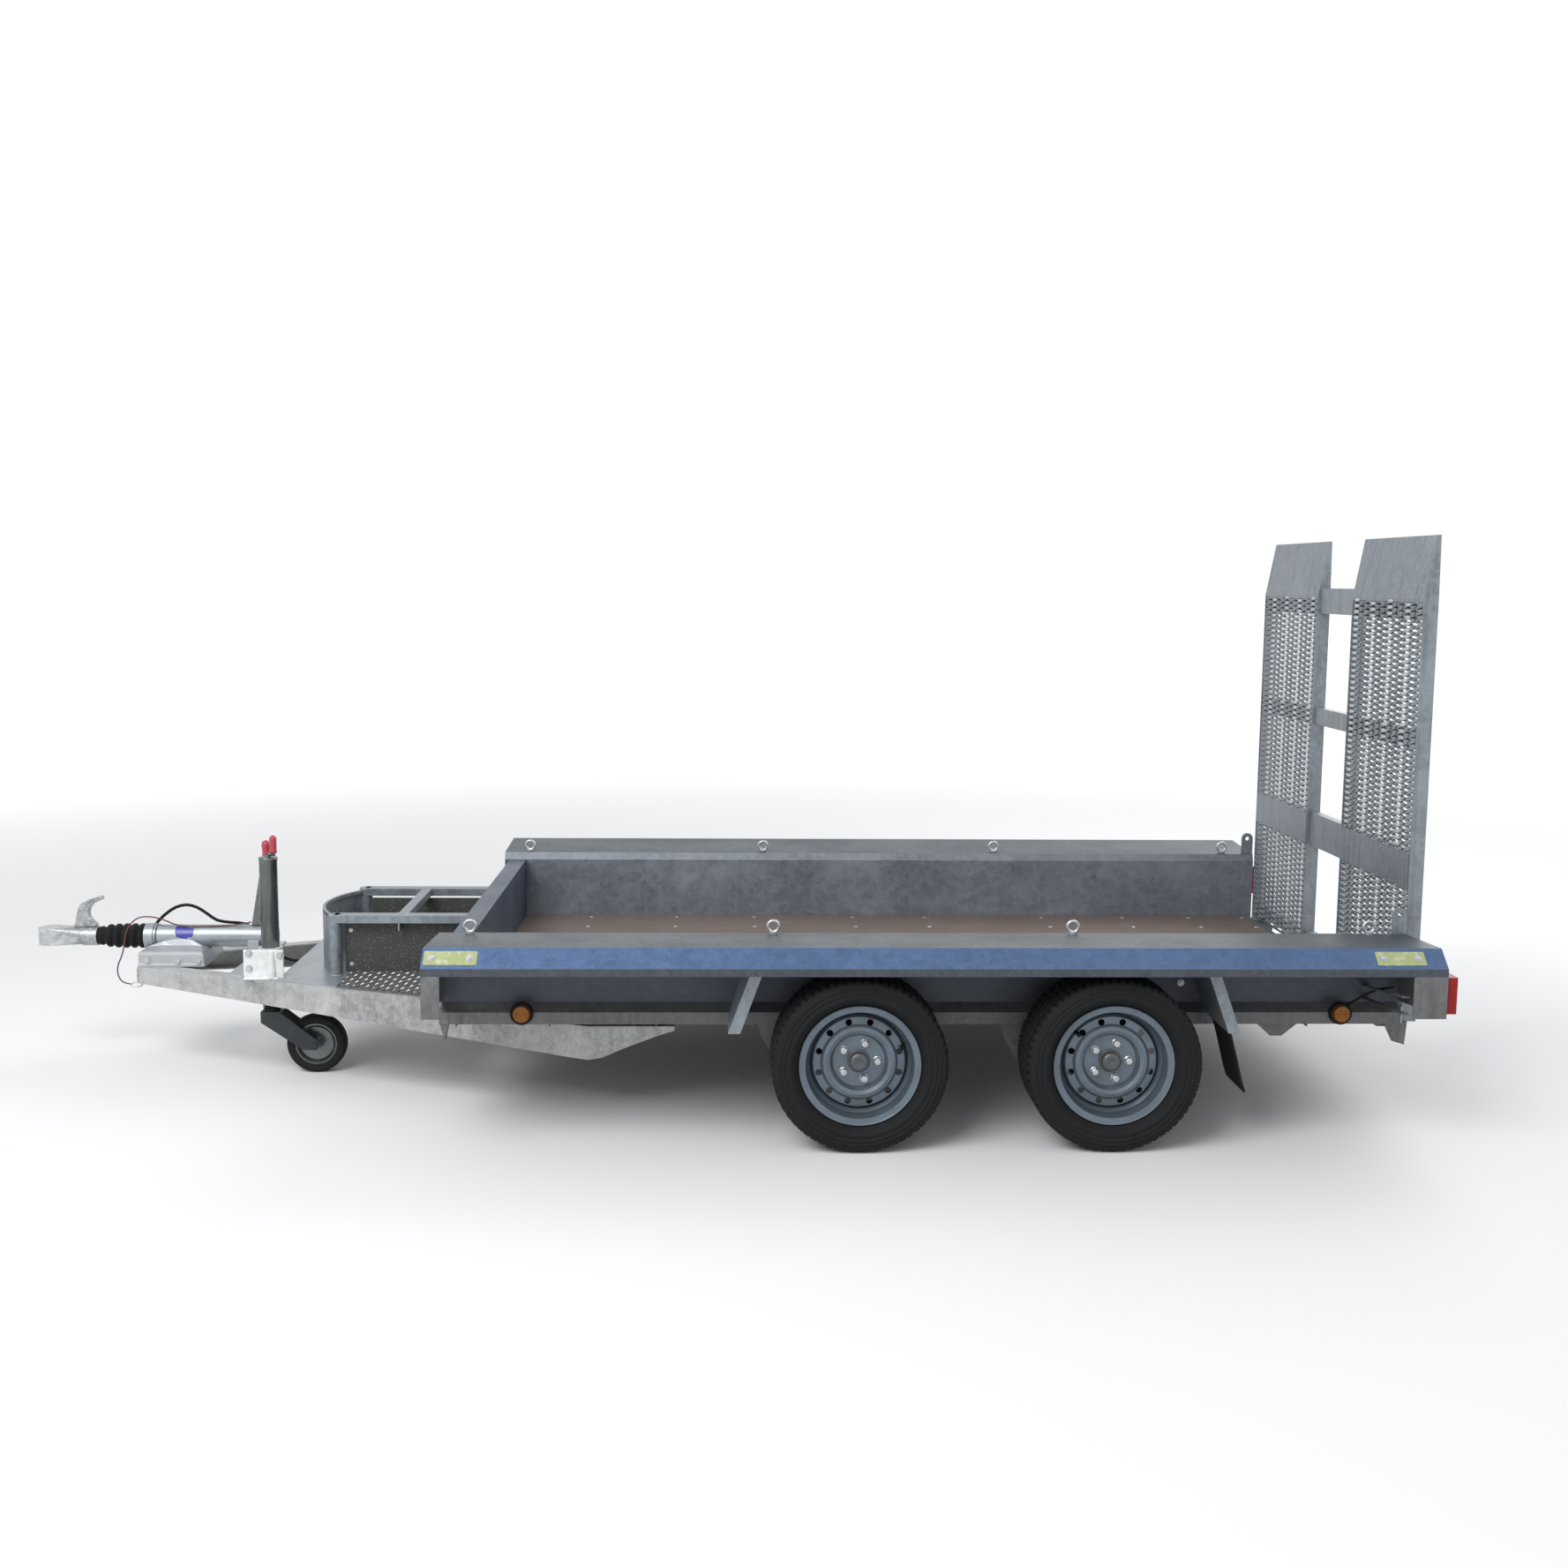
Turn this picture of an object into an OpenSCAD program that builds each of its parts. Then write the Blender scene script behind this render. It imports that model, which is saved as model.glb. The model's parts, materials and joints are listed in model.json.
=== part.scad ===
// Tandem-axle plant trailer: a low galvanised bed between the wheels, a ledge over
// each pair of wheels, a bucket rest on the drawbar and one loading ramp at the rear.
// The coupling points to -X, the ramp to +X, and the trailer's left side is -Y.
// Each piece is drawn with X = 0 at the bed's front end and Z = 0 at the ground.

/* [Bed] */
// Length of the bed over its two ends
bed_l = 2996; // [2600:4:3600]
// Width between the side walls
bed_w = 1500; // [1300:10:1700]
// Height of the deck's top above the ground
deck_z = 354; // [330:1:380]
// Thickness of the plywood deck
deck_t = 18; // [12:1:24]
// Height of the side walls above the deck
wall_h = 221; // [160:1:300]
// Thickness of the folded sheets
sheet_t = 3; // [2:0.5:5]
// Setback of the front wall's fold from the bed's front end
front_inset = 20; // [5:1:60]
// Depth of the front wall's folded top
front_fold = 64; // [40:1:90]
// Height of the lip along that fold
front_lip = 16; // [10:1:18]

/* [Ledges] */
// Height of the sloped lip between wall and ledge
lip_h = 28; // [15:1:40]
// Run of that lip
lip_run = 8; // [4:1:20]
// Width of the ledge's top
ledge_w = 274; // [260:1:340]
// Rise of the ledge's top to its outer edge
ledge_rise = 14; // [0:1:30]
// Width of the outer bevel
bevel_w = 58; // [30:1:80]
// Drop of the outer bevel
bevel_h = 50; // [30:1:80]
// Height of the skirt under the bevel
skirt_h = 23; // [15:1:40]

/* [Wheels] */
// Outer diameter of a tyre
tyre_d = 525; // [500:1:540]
// Section width of a tyre
tyre_w = 195; // [165:1:205]
// Diameter of the rim's bead seat
rim_d = 330; // [305:1:340]
// Width of the rim between its flanges
rim_w = 140; // [120:1:150]
// First axle behind the bed's front end
axle_x = 1275; // [1150:5:1400]
// Distance between the two axles
axle_gap = 755; // [740:1:800]
// Gap from a tyre's outer face to the ledge's skirt
tyre_inset = 30; // [20:1:40]
// Distance of the wheels' mounting face outside their middle
wheel_offset = 13; // [0:1:30]
// Bolt circle of the wheels
wheel_pcd = 112; // [100:1:120]

/* [Drawbar] */
// Front end of the beams ahead of the bed
beam_reach = 1150; // [1000:5:1300]
// Height of the beams' top ahead of the bed
beam_top = 342; // [330:1:350]
// Half spread of the beams at their front end
beam_front_y = 111; // [100:1:200]
// Place behind the bed's front end where the beams meet its sides
beam_meet = 450; // [350:5:600]
// Run of the beams along the bed's sides
beam_tail = 270; // [200:5:400]
// Width of the beams' flanges
beam_flange = 50; // [40:1:60]
// Thickness of the beams
beam_t = 5; // [4:0.5:8]
// Depth of the beams at their front end
beam_nose_h = 57; // [50:1:80]
// Height of the beams' lowest point
beam_low_z = 199; // [180:1:230]

/* [Coupling] */
// Height of the coupling's centre line
coupling_z = 428; // [420:1:450]
// Distance from the bed's front end to the ball's centre
ball_reach = 1478; // [1440:1:1560]
// Diameter of the towing ball
ball_d = 50; // [50:0.1:50.8]
// Outer diameter of the overrun tube
tube_d = 79; // [70:1:80]

/* [Jockey wheel] */
// Distance of the stem ahead of the bed
jockey_reach = 668; // [600:2:720]
// Distance of the stem to the left of the middle
jockey_y = 200; // [190:1:215]
// Outer diameter of the stem's tube
jockey_tube_d = 60; // [48:1:70]
// Diameter of the wheel
jockey_d = 200; // [190:1:210]
// Width of the wheel
jockey_w = 50; // [40:1:60]
// Distance of the wheel behind the stem
jockey_trail = 150; // [135:1:165]

/* [Ramp] */
// Height of the tread's bend above the ground
ramp_bend_z = 1640; // [1400:5:1700]
// Length of the ramp's bent tip
ramp_tip = 200; // [120:5:240]
// Angle of the bent tip
ramp_tip_a = 10; // [0:1:20]
// Depth of the ramp's frame
ramp_d = 46; // [40:1:60]
// Half width of the gap between the two treads
ramp_gap = 168; // [140:1:200]
// Distance of the hinge's centre below the deck
hinge_drop = 28; // [20:1:34]
// Distance of the hinge's centre behind the ramp's face
hinge_back = 30; // [26:1:34]
// Radius of the hinge pin
hinge_r = 10; // [8:0.5:12]

/* [Hidden] */
$fn = 48;
galv = [0.66, 0.69, 0.72];
dark_galv = [0.45, 0.48, 0.52];
bright_zinc = [0.80, 0.82, 0.84];
rubber = [0.08, 0.08, 0.08];

// Heights and widths that follow from the sizes above
wall_y = bed_w / 2;
wall_top = deck_z + wall_h;
ledge_in_z = wall_top + lip_h;
ledge_out_z = ledge_in_z + ledge_rise;
ledge_in_y = wall_y + lip_run;
ledge_out_y = ledge_in_y + ledge_w;
skirt_y = ledge_out_y + bevel_w;
skirt_top = ledge_out_z - bevel_h;
skirt_z = skirt_top - skirt_h;
floor_z = deck_z - deck_t;
cross_h = 30;
frame_z = floor_z - cross_h;
rail_y = wall_y + sheet_t;
rail_out = rail_y + 38;
rail_top = deck_z + 30;
rail_mid = deck_z + 6;
rail_low = deck_z - 31;
rail_t = 4;
clear = 0.3;

wheel_r = tyre_d / 2;
tyre_y = skirt_y - tyre_inset - tyre_w / 2;
disc_y = tyre_y + wheel_offset;
axle_xs = [axle_x, axle_x + axle_gap];
arm_l = 170;
axle_tube = 80;
axle_z = 225;
arm_y = rail_out - 22;
arm_t = 32;
arm_h = 70;
spindle_r = 20;

beam_k = (rail_y - beam_front_y) / (beam_reach + beam_meet);
function beam_y(x) = beam_front_y + (x + beam_reach) * beam_k;

ball_x = -ball_reach;
nose_x = ball_x - 44;
front_wall_x = front_inset + front_fold;
sill_x = bed_l - 12;
sill_step = 34;
ramp_x = bed_l + 6;
hinge_x = ramp_x + hinge_back;
hinge_z = deck_z - hinge_drop;
ramp_bottom = hinge_z - 5;
ramp_y = wall_y + 6;
ramp_sheet = 4;
tip_back = [ramp_x + ramp_tip * sin(ramp_tip_a), ramp_bend_z + ramp_tip * cos(ramp_tip_a)];
tip_t = 9;
rear_x = max(ramp_x + ramp_d, tip_back[0] + tip_t);

// The origin lies midway between the coupling's nose and the ramp's rear face
mid_x = (nose_x + rear_x) / 2;

// Folded strip of thickness t to the left of the polyline p
function unit(v) = v / norm(v);
function left_of(v) = [-v[1], v[0]];
function way(p, i) = unit(p[i + 1] - p[i]);
function mitre(p, i, t) =
  let (
    a = left_of(way(p, max(i - 1, 0))),
    b = left_of(way(p, min(i, len(p) - 2)))
  ) p[i] + (a + b) * t / (1 + a * b);
function strip(p, t) = concat(p, [for (i = [len(p) - 1:-1:0]) mitre(p, i, t)]);
function arc(c, r, a0, a1, n) =
  [for (i = [0:n]) c + r * [cos(a0 + (a1 - a0) * i / n), sin(a0 + (a1 - a0) * i / n)]];

module along_x(l) rotate([90, 0, 90]) linear_extrude(l) children();
module along_y(l) translate([0, l, 0]) rotate([90, 0, 0]) linear_extrude(l) children();
module mirrored() {
  children();
  mirror([0, 1, 0]) children();
}
module disc(r, h) cylinder(r = r, h = h);
// Cylinder from y0 towards +Y
module cyl_y(x, z, r, y0, l) translate([x, y0, z]) rotate([-90, 0, 0]) cylinder(r = r, h = l);
module cyl_x(y, z, r, x0, l) translate([x0, y, z]) rotate([0, 90, 0]) cylinder(r = r, h = l);
// Box from its two opposite corners
module block(a, b) translate(a) cube(b - a);

// One drawbar beam, on the -Y side: a deep channel that opens towards the middle. Ahead
// of the bed its top is higher than under the bed, where the cross members lie on it.
beam_end = beam_meet + beam_tail;
beam_path = [[-beam_reach, -beam_front_y], [beam_meet, -rail_y], [beam_end, -rail_y]];
// Side view, drawn in by t at the top and the bottom; over is how far it runs past the nose
module beam_side(t, over) polygon([
  [-beam_reach - over, beam_top - beam_nose_h + t], [beam_meet - 60, beam_low_z + 2 + t],
  [beam_meet, beam_low_z + t], [beam_meet + 45, beam_low_z + 7 + t], [beam_meet + 105, beam_low_z + 34 + t],
  [beam_end - 55, beam_low_z + 76 + t], [beam_end - 6 * t, frame_z - 14 + t - 4 * t],
  [beam_end - 6 * t, frame_z - t], [-t, frame_z - t], [-t, beam_top - t], [-beam_reach - over, beam_top - t]
]);
module beam_plan(t, over) translate([0, t, 0]) polygon(strip(
  [beam_path[0] - over * way(beam_path, 0), beam_path[1], beam_path[2]], beam_flange));
module drawbar_beams() color(galv) mirrored() difference() {
  intersection() {
    linear_extrude(beam_top) beam_plan(0, 0);
    translate([0, -rail_y - 10, 0]) along_y(rail_y) beam_side(0, 10);
  }
  intersection() {
    linear_extrude(beam_top) beam_plan(beam_t, 20);
    translate([0, -rail_y - 10, 0]) along_y(rail_y + 40) beam_side(beam_t, 30);
  }
}

// Trapezoid on the beams, from x0 to x1
module across(x0, x1, y0, t) translate([0, 0, y0]) linear_extrude(t) polygon([
  [x0, -beam_y(x0)], [x1, -beam_y(x1)], [x1, beam_y(x1)], [x0, beam_y(x0)]
]);

// Front cross plate and the two cradles that carry the overrun tube
module drawbar_head() color(bright_zinc) {
  half = beam_front_y - beam_t - 1;
  head_x = -beam_reach + 4;
  translate([head_x, 0, 0]) along_x(6) polygon([
    [-half, beam_top - beam_nose_h + beam_t + 2], [half, beam_top - beam_nose_h + beam_t + 2],
    [half, beam_top - beam_t - 0.1], [-half, beam_top - beam_t - 0.1]
  ]);
  for (x = [[-beam_reach + 4, 162], [-892, 150]]) {
    across(x[0], x[0] + x[1], beam_top, 8);
    difference() {
      block([x[0] + 34, -56, beam_top + 7], [x[0] + x[1] - 12, 56, coupling_z - 8]);
      cyl_x(0, coupling_z, tube_d / 2 + 0.1, x[0], 200);
      block([x[0], -40, beam_top + 14], [x[0] + 200, 40, coupling_z - tube_d / 2 - 7]);
    }
  }
}

housing_x0 = -1150;
housing_l = 450;
module overrun_housing() color(bright_zinc) difference() {
  union() {
    cyl_x(0, coupling_z, tube_d / 2, housing_x0, housing_l);
    cyl_x(0, coupling_z, tube_d / 2 + 5, housing_x0, 30);
  }
  cyl_x(0, coupling_z, 27, housing_x0 - 1, housing_l - 12);
}

// Bellows on the drawtube, with rings that shrink towards the coupling
gaiter_x0 = -1316;
gaiter_n = 6;
gaiter_l = housing_x0 - gaiter_x0;
module gaiter() color(rubber) {
  step = gaiter_l / gaiter_n;
  outer = [for (i = [0:gaiter_n - 1]) for (p = [
    [i * step + 1, 34 + 0.5 * i], [i * step + step * 0.3, 40 + i * 0.6],
    [i * step + step * 0.7, 40 + i * 0.6], [(i + 1) * step - 1, 34 + 0.5 * i]
  ]) [p[1], p[0]]];
  translate([gaiter_x0, 0, coupling_z]) rotate([0, 90, 0]) rotate_extrude()
    polygon(concat([[26, 0], [34, 0]], outer, [[34, gaiter_l], [26, gaiter_l]]));
}

// Cast ball coupling with its socket open below, and the drawtube behind it
module coupling_head() color(bright_zinc) difference() {
  union() {
    hull() {
      translate([ball_x, 0, coupling_z - 28]) cylinder(r = 44, h = 58, $fn = 40);
      translate([ball_x + 95, 0, coupling_z]) rotate([0, 90, 0]) cylinder(r = 30, h = 20, $fn = 32);
    }
    cyl_x(0, coupling_z, 34, ball_x + 110, gaiter_x0 - ball_x - 110);
    cyl_x(0, coupling_z, 25, ball_x + 100, housing_x0 + 120 - ball_x);
  }
  translate([ball_x, 0, coupling_z - 40]) cylinder(r = ball_d / 2 + 0.5, h = 40);
  translate([ball_x, 0, coupling_z]) sphere(r = ball_d / 2 + 0.5);
}

module coupling_handle() color(bright_zinc) {
  base = ball_x + 78;
  along = [[base, coupling_z + 36], [base + 12, coupling_z + 60], [base + 26, coupling_z + 98],
    [base + 84, coupling_z + 130]];
  translate([0, -11, 0]) along_y(22) polygon(strip(along, 16));
  block([base - 22, -20, coupling_z + 30.3], [base + 22, 20, coupling_z + 44]);
}

// Handbrake: a tapered channel that stands upright, pivoted on the tube
lever_x = -730;
lever_y = 0;
module handbrake_lever() color(dark_galv) {
  z0 = coupling_z + tube_d / 2 + clear;
  translate([lever_x, lever_y - 15, 0]) difference() {
    along_y(30) polygon([[-62, z0], [52, z0], [20, 730], [-6, 730]]);
    translate([0, 4, 0]) along_y(22) polygon([[-52, z0 + 12], [60, z0 + 12], [30, 724], [-1, 724]]);
  }
}

crank_x = -jockey_reach;
crank_z = 742;
module red_grips() color([0.72, 0.08, 0.12]) {
  // Grip of the handbrake
  translate([lever_x + 7, lever_y, 730 + clear]) cylinder(r1 = 13, r2 = 16, h = 34);
  translate([lever_x + 7, lever_y, 764]) sphere(r = 17);
  // Grip of the jockey wheel's crank
  translate([crank_x - 14, -jockey_y, crank_z + 14 + clear]) cylinder(r = 13, h = 40);
  translate([crank_x - 14, -jockey_y, crank_z + 54]) sphere(r = 13);
}

jockey_tube_r = jockey_tube_d / 2;
// Folded bracket on the near beam with the collar that clamps the stem's tube
module jockey_bracket() color(bright_zinc) difference() {
  face_y = -beam_y(crank_x) + 20;
  union() {
    block([crank_x - 67, face_y, beam_top], [crank_x + 48, face_y + 6, beam_top + 102]);
    block([crank_x - 67, face_y - 16, beam_top], [crank_x + 48, face_y + 40, beam_top + 6]);
    block([crank_x - 34, face_y + 5, beam_top + 12], [crank_x + 34, -jockey_y, beam_top + 92]);
    translate([crank_x, -jockey_y, beam_top + 12]) cylinder(r = jockey_tube_r + 10, h = 80);
  }
  translate([crank_x, -jockey_y, beam_top - 1]) cylinder(r = jockey_tube_r + 0.05, h = 110);
}

jockey_tube_z = 222;
module jockey_tube() color(dark_galv) {
  translate([crank_x, -jockey_y, 0]) {
    difference() {
      translate([0, 0, jockey_tube_z]) cylinder(r = jockey_tube_r, h = crank_z - jockey_tube_z);
      translate([0, 0, jockey_tube_z - 1]) cylinder(r = jockey_tube_r - 3, h = crank_z - jockey_tube_z - 5);
    }
    // Crank rod, bent towards the grip
    translate([0, 0, crank_z - 1]) cylinder(r = 9, h = 10);
    block([-20, -7, crank_z + 4], [8, 7, crank_z + 14]);
  }
}

// Plain plate behind the jockey wheel and an open mesh in front of the bed, on the beams
tongue_t = 5;
tongue_x = -618;
mesh_x = -400;
module tongue_deck() color(galv) {
  across(tongue_x, mesh_x, beam_top, tongue_t);
  across(mesh_x, 0, beam_top, tongue_t);
}

// Bucket rest: a frame of square tube on two posts, tied to the bed's front wall
rest_x = -462;
rest_y = 268;
rest_z = 556;
rest_b = 44;
module bucket_rest() color(galv) {
  foot = beam_top + tongue_t;
  mirrored() {
    block([rest_x, rest_y - rest_b, foot], [rest_x + rest_b, rest_y, rest_z]);
    block([rest_x, rest_y - rest_b, rest_z - 34], [front_wall_x - sheet_t, rest_y, rest_z]);
  }
  block([rest_x, -rest_y, rest_z - 34], [rest_x + 34, rest_y, rest_z]);
  block([-230, -rest_y, rest_z - 34], [-196, rest_y, rest_z]);
}

module rest_lining() color([0.16, 0.16, 0.15]) mirrored()
  block([rest_x + rest_b + 8, rest_y - rest_b - 12 - clear, beam_top + tongue_t + 6],
    [front_inset - 10, rest_y - rest_b - clear, rest_z - 34 - clear]);

// Side sheet, on the +Y side: wall, lip, ledge, bevel and skirt folded from one sheet
side_path = [
  [wall_y, floor_z], [wall_y, wall_top], [ledge_in_y, ledge_in_z], [ledge_out_y, ledge_out_z],
  [skirt_y, skirt_top], [skirt_y, skirt_z], [skirt_y - 22, skirt_z]
];
module side_sheet() color(galv) translate([0, 0, 0]) along_x(bed_l) polygon(strip(side_path, -sheet_t));
module side_left() mirror([0, 1, 0]) side_sheet();
module side_right() side_sheet();

module front_wall() color(galv) {
  top = wall_top;
  half = wall_y - clear;
  translate([0, -half, 0]) along_y(2 * half) polygon(strip([
    [front_wall_x, floor_z], [front_wall_x, top], [front_inset, top], [front_inset, top - front_lip]
  ], sheet_t));
}

module deck() color([0.30, 0.22, 0.19])
  block([front_wall_x + clear, -wall_y + 1, floor_z], [sill_x - sill_step - clear, wall_y - 1, deck_z]);

// Side rails folded under a sloped shoulder, cross members and rear sill in one frame
rail_path = [[rail_y, rail_top], [rail_out, rail_mid], [rail_out, rail_low], [rail_y, rail_low]];
cross_w = 44;
cross_t = 4;
cross_xs = [front_wall_x - 40, 330, 660, 960, 1360, 1640, 2120, 2440, 2700];
ear_ys = [90, 640];
ear_t = 10;
knuckle_l = 60;
knuckle_r = hinge_r + 6;
module chassis_frame() color(dark_galv) {
  mirrored() {
    along_x(sill_x) intersection() {
      polygon(strip(rail_path, -rail_t));
      translate([rail_y, 0]) square([rail_out, rail_top]);
    }
    // Foot under the rail's front end, gusset behind the wheels and foot at the rear
    translate([0, rail_y, 0]) along_y(30) polygon([[1, rail_low + 1], [15, rail_low - 56], [27, rail_low + 1]]);
    translate([0, rail_y, 0]) along_y(8)
      polygon([[2533, rail_low + 1], [2585, rail_low - 46], [2622, rail_low - 46], [2679, rail_low + 1]]);
    translate([0, rail_y + 12, 0]) along_y(8) polygon([
      [sill_x - 45, rail_low + 1], [sill_x - 15, rail_low - 60], [sill_x + 24, rail_low - 72],
      [sill_x + 30, rail_low + 1]
    ]);
  }
  for (x = cross_xs)
    difference() {
      block([x, -rail_y - rail_t, frame_z], [x + cross_w, rail_y + rail_t, floor_z]);
      block([x + cross_t, -rail_y - 10, frame_z - 1], [x + cross_w + 1, rail_y + 10, floor_z - cross_t]);
    }
  // Rear sill, with a step that covers the deck's end
  block([sill_x - 60, -rail_y - rail_t, frame_z], [sill_x, rail_y + rail_t, floor_z]);
  block([sill_x - sill_step, -wall_y + 1, floor_z - 1], [sill_x, wall_y - 1, deck_z]);
  // Hinge ears and pins of the ramp
  mirrored() for (y = ear_ys) {
    for (e = [y - ear_t, y + knuckle_l + 2]) translate([0, e, 0]) along_y(ear_t) union() {
      translate([sill_x - 1, hinge_z - knuckle_r]) square([hinge_x - sill_x + 1, 2 * knuckle_r]);
      translate([hinge_x, hinge_z]) circle(r = knuckle_r);
    }
    cyl_y(hinge_x, hinge_z, hinge_r, y - ear_t - 2, knuckle_l + 2 * ear_t + 6);
  }
}

// Region under the ledge, in the plane across the trailer, out to the width y1
function under_ledge(y) =
  ledge_in_z + (y - ledge_in_y) * ledge_rise / ledge_w - sheet_t / cos(atan(ledge_rise / ledge_w));
module bay(y1, z0) polygon([
  [rail_y, rail_top + 4], [rail_y, wall_top - 3], [ledge_in_y + sheet_t + 2, under_ledge(ledge_in_y) - 3],
  [y1, under_ledge(y1)], [y1, z0], [rail_out + 1, z0], [rail_out + 1, rail_mid + 4]
]);

// Plates that close the ends of the ledges, with a post in line with each skirt
post_z = skirt_z - 126;
module end_plates() color(dark_galv) mirrored() for (e = [[0, 54, 0], [bed_l - 3, 100, bed_l - 100]]) {
  translate([e[0], 0, 0]) along_x(3) polygon([
    [rail_y, rail_top + 4], [rail_y, skirt_z], [skirt_y, skirt_z], [skirt_y, post_z],
    [skirt_y - 60, post_z], [rail_out + 1, rail_mid + 30]
  ]);
  translate([e[2], 0, 0]) along_x(e[1]) polygon([
    [skirt_y - 4, post_z], [skirt_y, post_z], [skirt_y, skirt_z], [skirt_y - 4, skirt_z]
  ]);
}

// Sloped plates before and behind each pair of wheels, with a flange on the outer side
brace_z = 350;
brace_y = 1000;
brace_k = 0.365;
brace_out = [949, 2316];
// Place of a brace's face at height z; s is the way its foot leans
function brace_x(x, s, z) = x + s * brace_k * (526 - z);
module brace_side(x, s, w) polygon([
  [brace_x(x, s, 640), 640], [brace_x(x, s, brace_z), brace_z],
  [brace_x(x, s, brace_z) + w, brace_z], [brace_x(x, s, 640) + w, 640]
]);
module arch_braces() color(galv) mirrored() for (b = [[949, -1], [2316, 1]]) intersection() {
  union() {
    translate([0, rail_y, 0]) along_y(brace_y - rail_y) brace_side(b[0], b[1], 4);
    translate([0, brace_y - 5, 0]) along_y(5) brace_side(b[0], b[1], 36);
  }
  along_x(bed_l) bay(brace_y, brace_z);
}

flap_t = 6;
flap_x = brace_x(2316, 1, 430) + 4 + clear;
module mudflaps() color(rubber) mirrored() translate([0, rail_out + 20, 0])
  along_y(brace_y - 10 - rail_out - 20) polygon(strip([
    [2436, 165], [2424, 200], [2404, 280], [brace_x(2316, 1, brace_z) + 4.4, brace_z], [flap_x + 0.1, 430]
  ], -flap_t));

marker_xs = [253, 2791];
module side_markers() color([0.85, 0.40, 0.04]) mirrored() for (x = marker_xs) {
  cyl_y(x, rail_mid - 1, 34, rail_out + clear, 12);
  cyl_y(x, rail_mid - 1, 28, rail_out + 11, 12);
}

module tail_lamps() color([0.65, 0.05, 0.05]) mirrored()
  block([bed_l + clear, 845, skirt_z - 118], [bed_l + 40, 1065, skirt_z - 8]);

// Rubber-sprung axle: square tube, hangers under the side rails, trailing arms, brake
// back plates and spindles
hanger_y = rail_y + 4;
module axle_at(x) color(dark_galv) {
  tube_x = x - arm_l;
  half = axle_tube / 2;
  block([tube_x - half, -hanger_y - 1, axle_z - half], [tube_x + half, hanger_y + 1, axle_z + half]);
  mirrored() {
    translate([0, hanger_y, 0]) along_y(8) polygon([
      [tube_x - 128, rail_low], [tube_x - 116, rail_low - 46], [tube_x - 60, axle_z - half - 8],
      [tube_x + 50, axle_z - half - 8], [tube_x + 80, rail_low]
    ]);
    cyl_y(tube_x, axle_z, 30, hanger_y + 7, arm_y - hanger_y);
    translate([0, arm_y, 0]) along_y(arm_t) hull() {
      translate([tube_x, axle_z]) circle(r = arm_h / 2, $fn = 32);
      translate([x, wheel_r]) circle(r = arm_h / 2 - 5, $fn = 32);
    }
    cyl_y(x, wheel_r, 112, arm_y + arm_t - 1, 4);
    cyl_y(x, wheel_r, spindle_r, arm_y, disc_y - arm_y - 10);
  }
}
module front_axle() axle_at(axle_xs[0]);
module rear_axle() axle_at(axle_xs[1]);

// Height of the ledge's top at the width y
function ledge_z(y) = ledge_in_z + (y - ledge_in_y) * ledge_rise / ledge_w;
ring_xs = [97, 1023, 1949, 2875];
ring_y = ledge_in_y + 22;
ring_r = 17;
ring_wire = 5;
module lashing_rings() color(bright_zinc) mirrored() for (x = ring_xs) {
  base = ledge_z(ring_y + 14) + clear;
  translate([x, ring_y, base + 6 + ring_r]) rotate([90, 0, 0]) rotate_extrude()
    translate([ring_r, 0]) circle(r = ring_wire, $fn = 20);
  translate([x, ring_y, base]) cylinder(r = 14, h = 7);
}

lock_t = 8;
lock_w = 44;
module ramp_locks() color(galv) mirrored() difference() {
  y = ramp_y + 8;
  base = ledge_z(y + lock_t) + clear;
  translate([bed_l - lock_w, y, base]) along_y(lock_t) union() {
    square([lock_w, 61]);
    translate([lock_w / 2, 61]) circle(r = lock_w / 2);
  }
  cyl_y(bed_l - lock_w / 2, base + 61, 8, ramp_y, 30);
}

// Ramp: two treads on a welded frame that stands upright behind the bed, and the
// knuckles that turn on the hinge pins
module ramp_frame() color(galv) {
  mirrored() for (y = [ramp_gap, ramp_y - 6]) {
    block([ramp_x, y, ramp_bottom], [ramp_x + ramp_d, y + 6, ramp_bend_z]);
    translate([0, y, 0]) along_y(6) polygon([
      [ramp_x, ramp_bend_z - 1], tip_back, tip_back + [tip_t, 0], [ramp_x + ramp_d, ramp_bend_z - 1]
    ]);
  }
  for (z = [[hinge_z + 40, 50], [738, 120], [1180, 60], [ramp_bend_z - 60, 90]])
    block([ramp_x + ramp_sheet + 6, -ramp_y + 3, z[0]], [ramp_x + ramp_d - 4, ramp_y - 3, z[0] + z[1]]);
  mirrored() for (y = ear_ys) difference() {
    union() {
      cyl_y(hinge_x, hinge_z, knuckle_r, y + 1, knuckle_l);
      block([hinge_x - knuckle_r, y + 1, hinge_z], [hinge_x + knuckle_r - 4, y + 1 + knuckle_l, hinge_z + 41]);
    }
    cyl_y(hinge_x, hinge_z, hinge_r + 0.05, y, knuckle_l + 2);
  }
}

module ramp_treads() color(galv) mirrored() {
  block([ramp_x + 1, ramp_gap + 6, ramp_bottom + 34], [ramp_x + 1 + ramp_sheet, ramp_y - 6, ramp_bend_z]);
}

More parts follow.
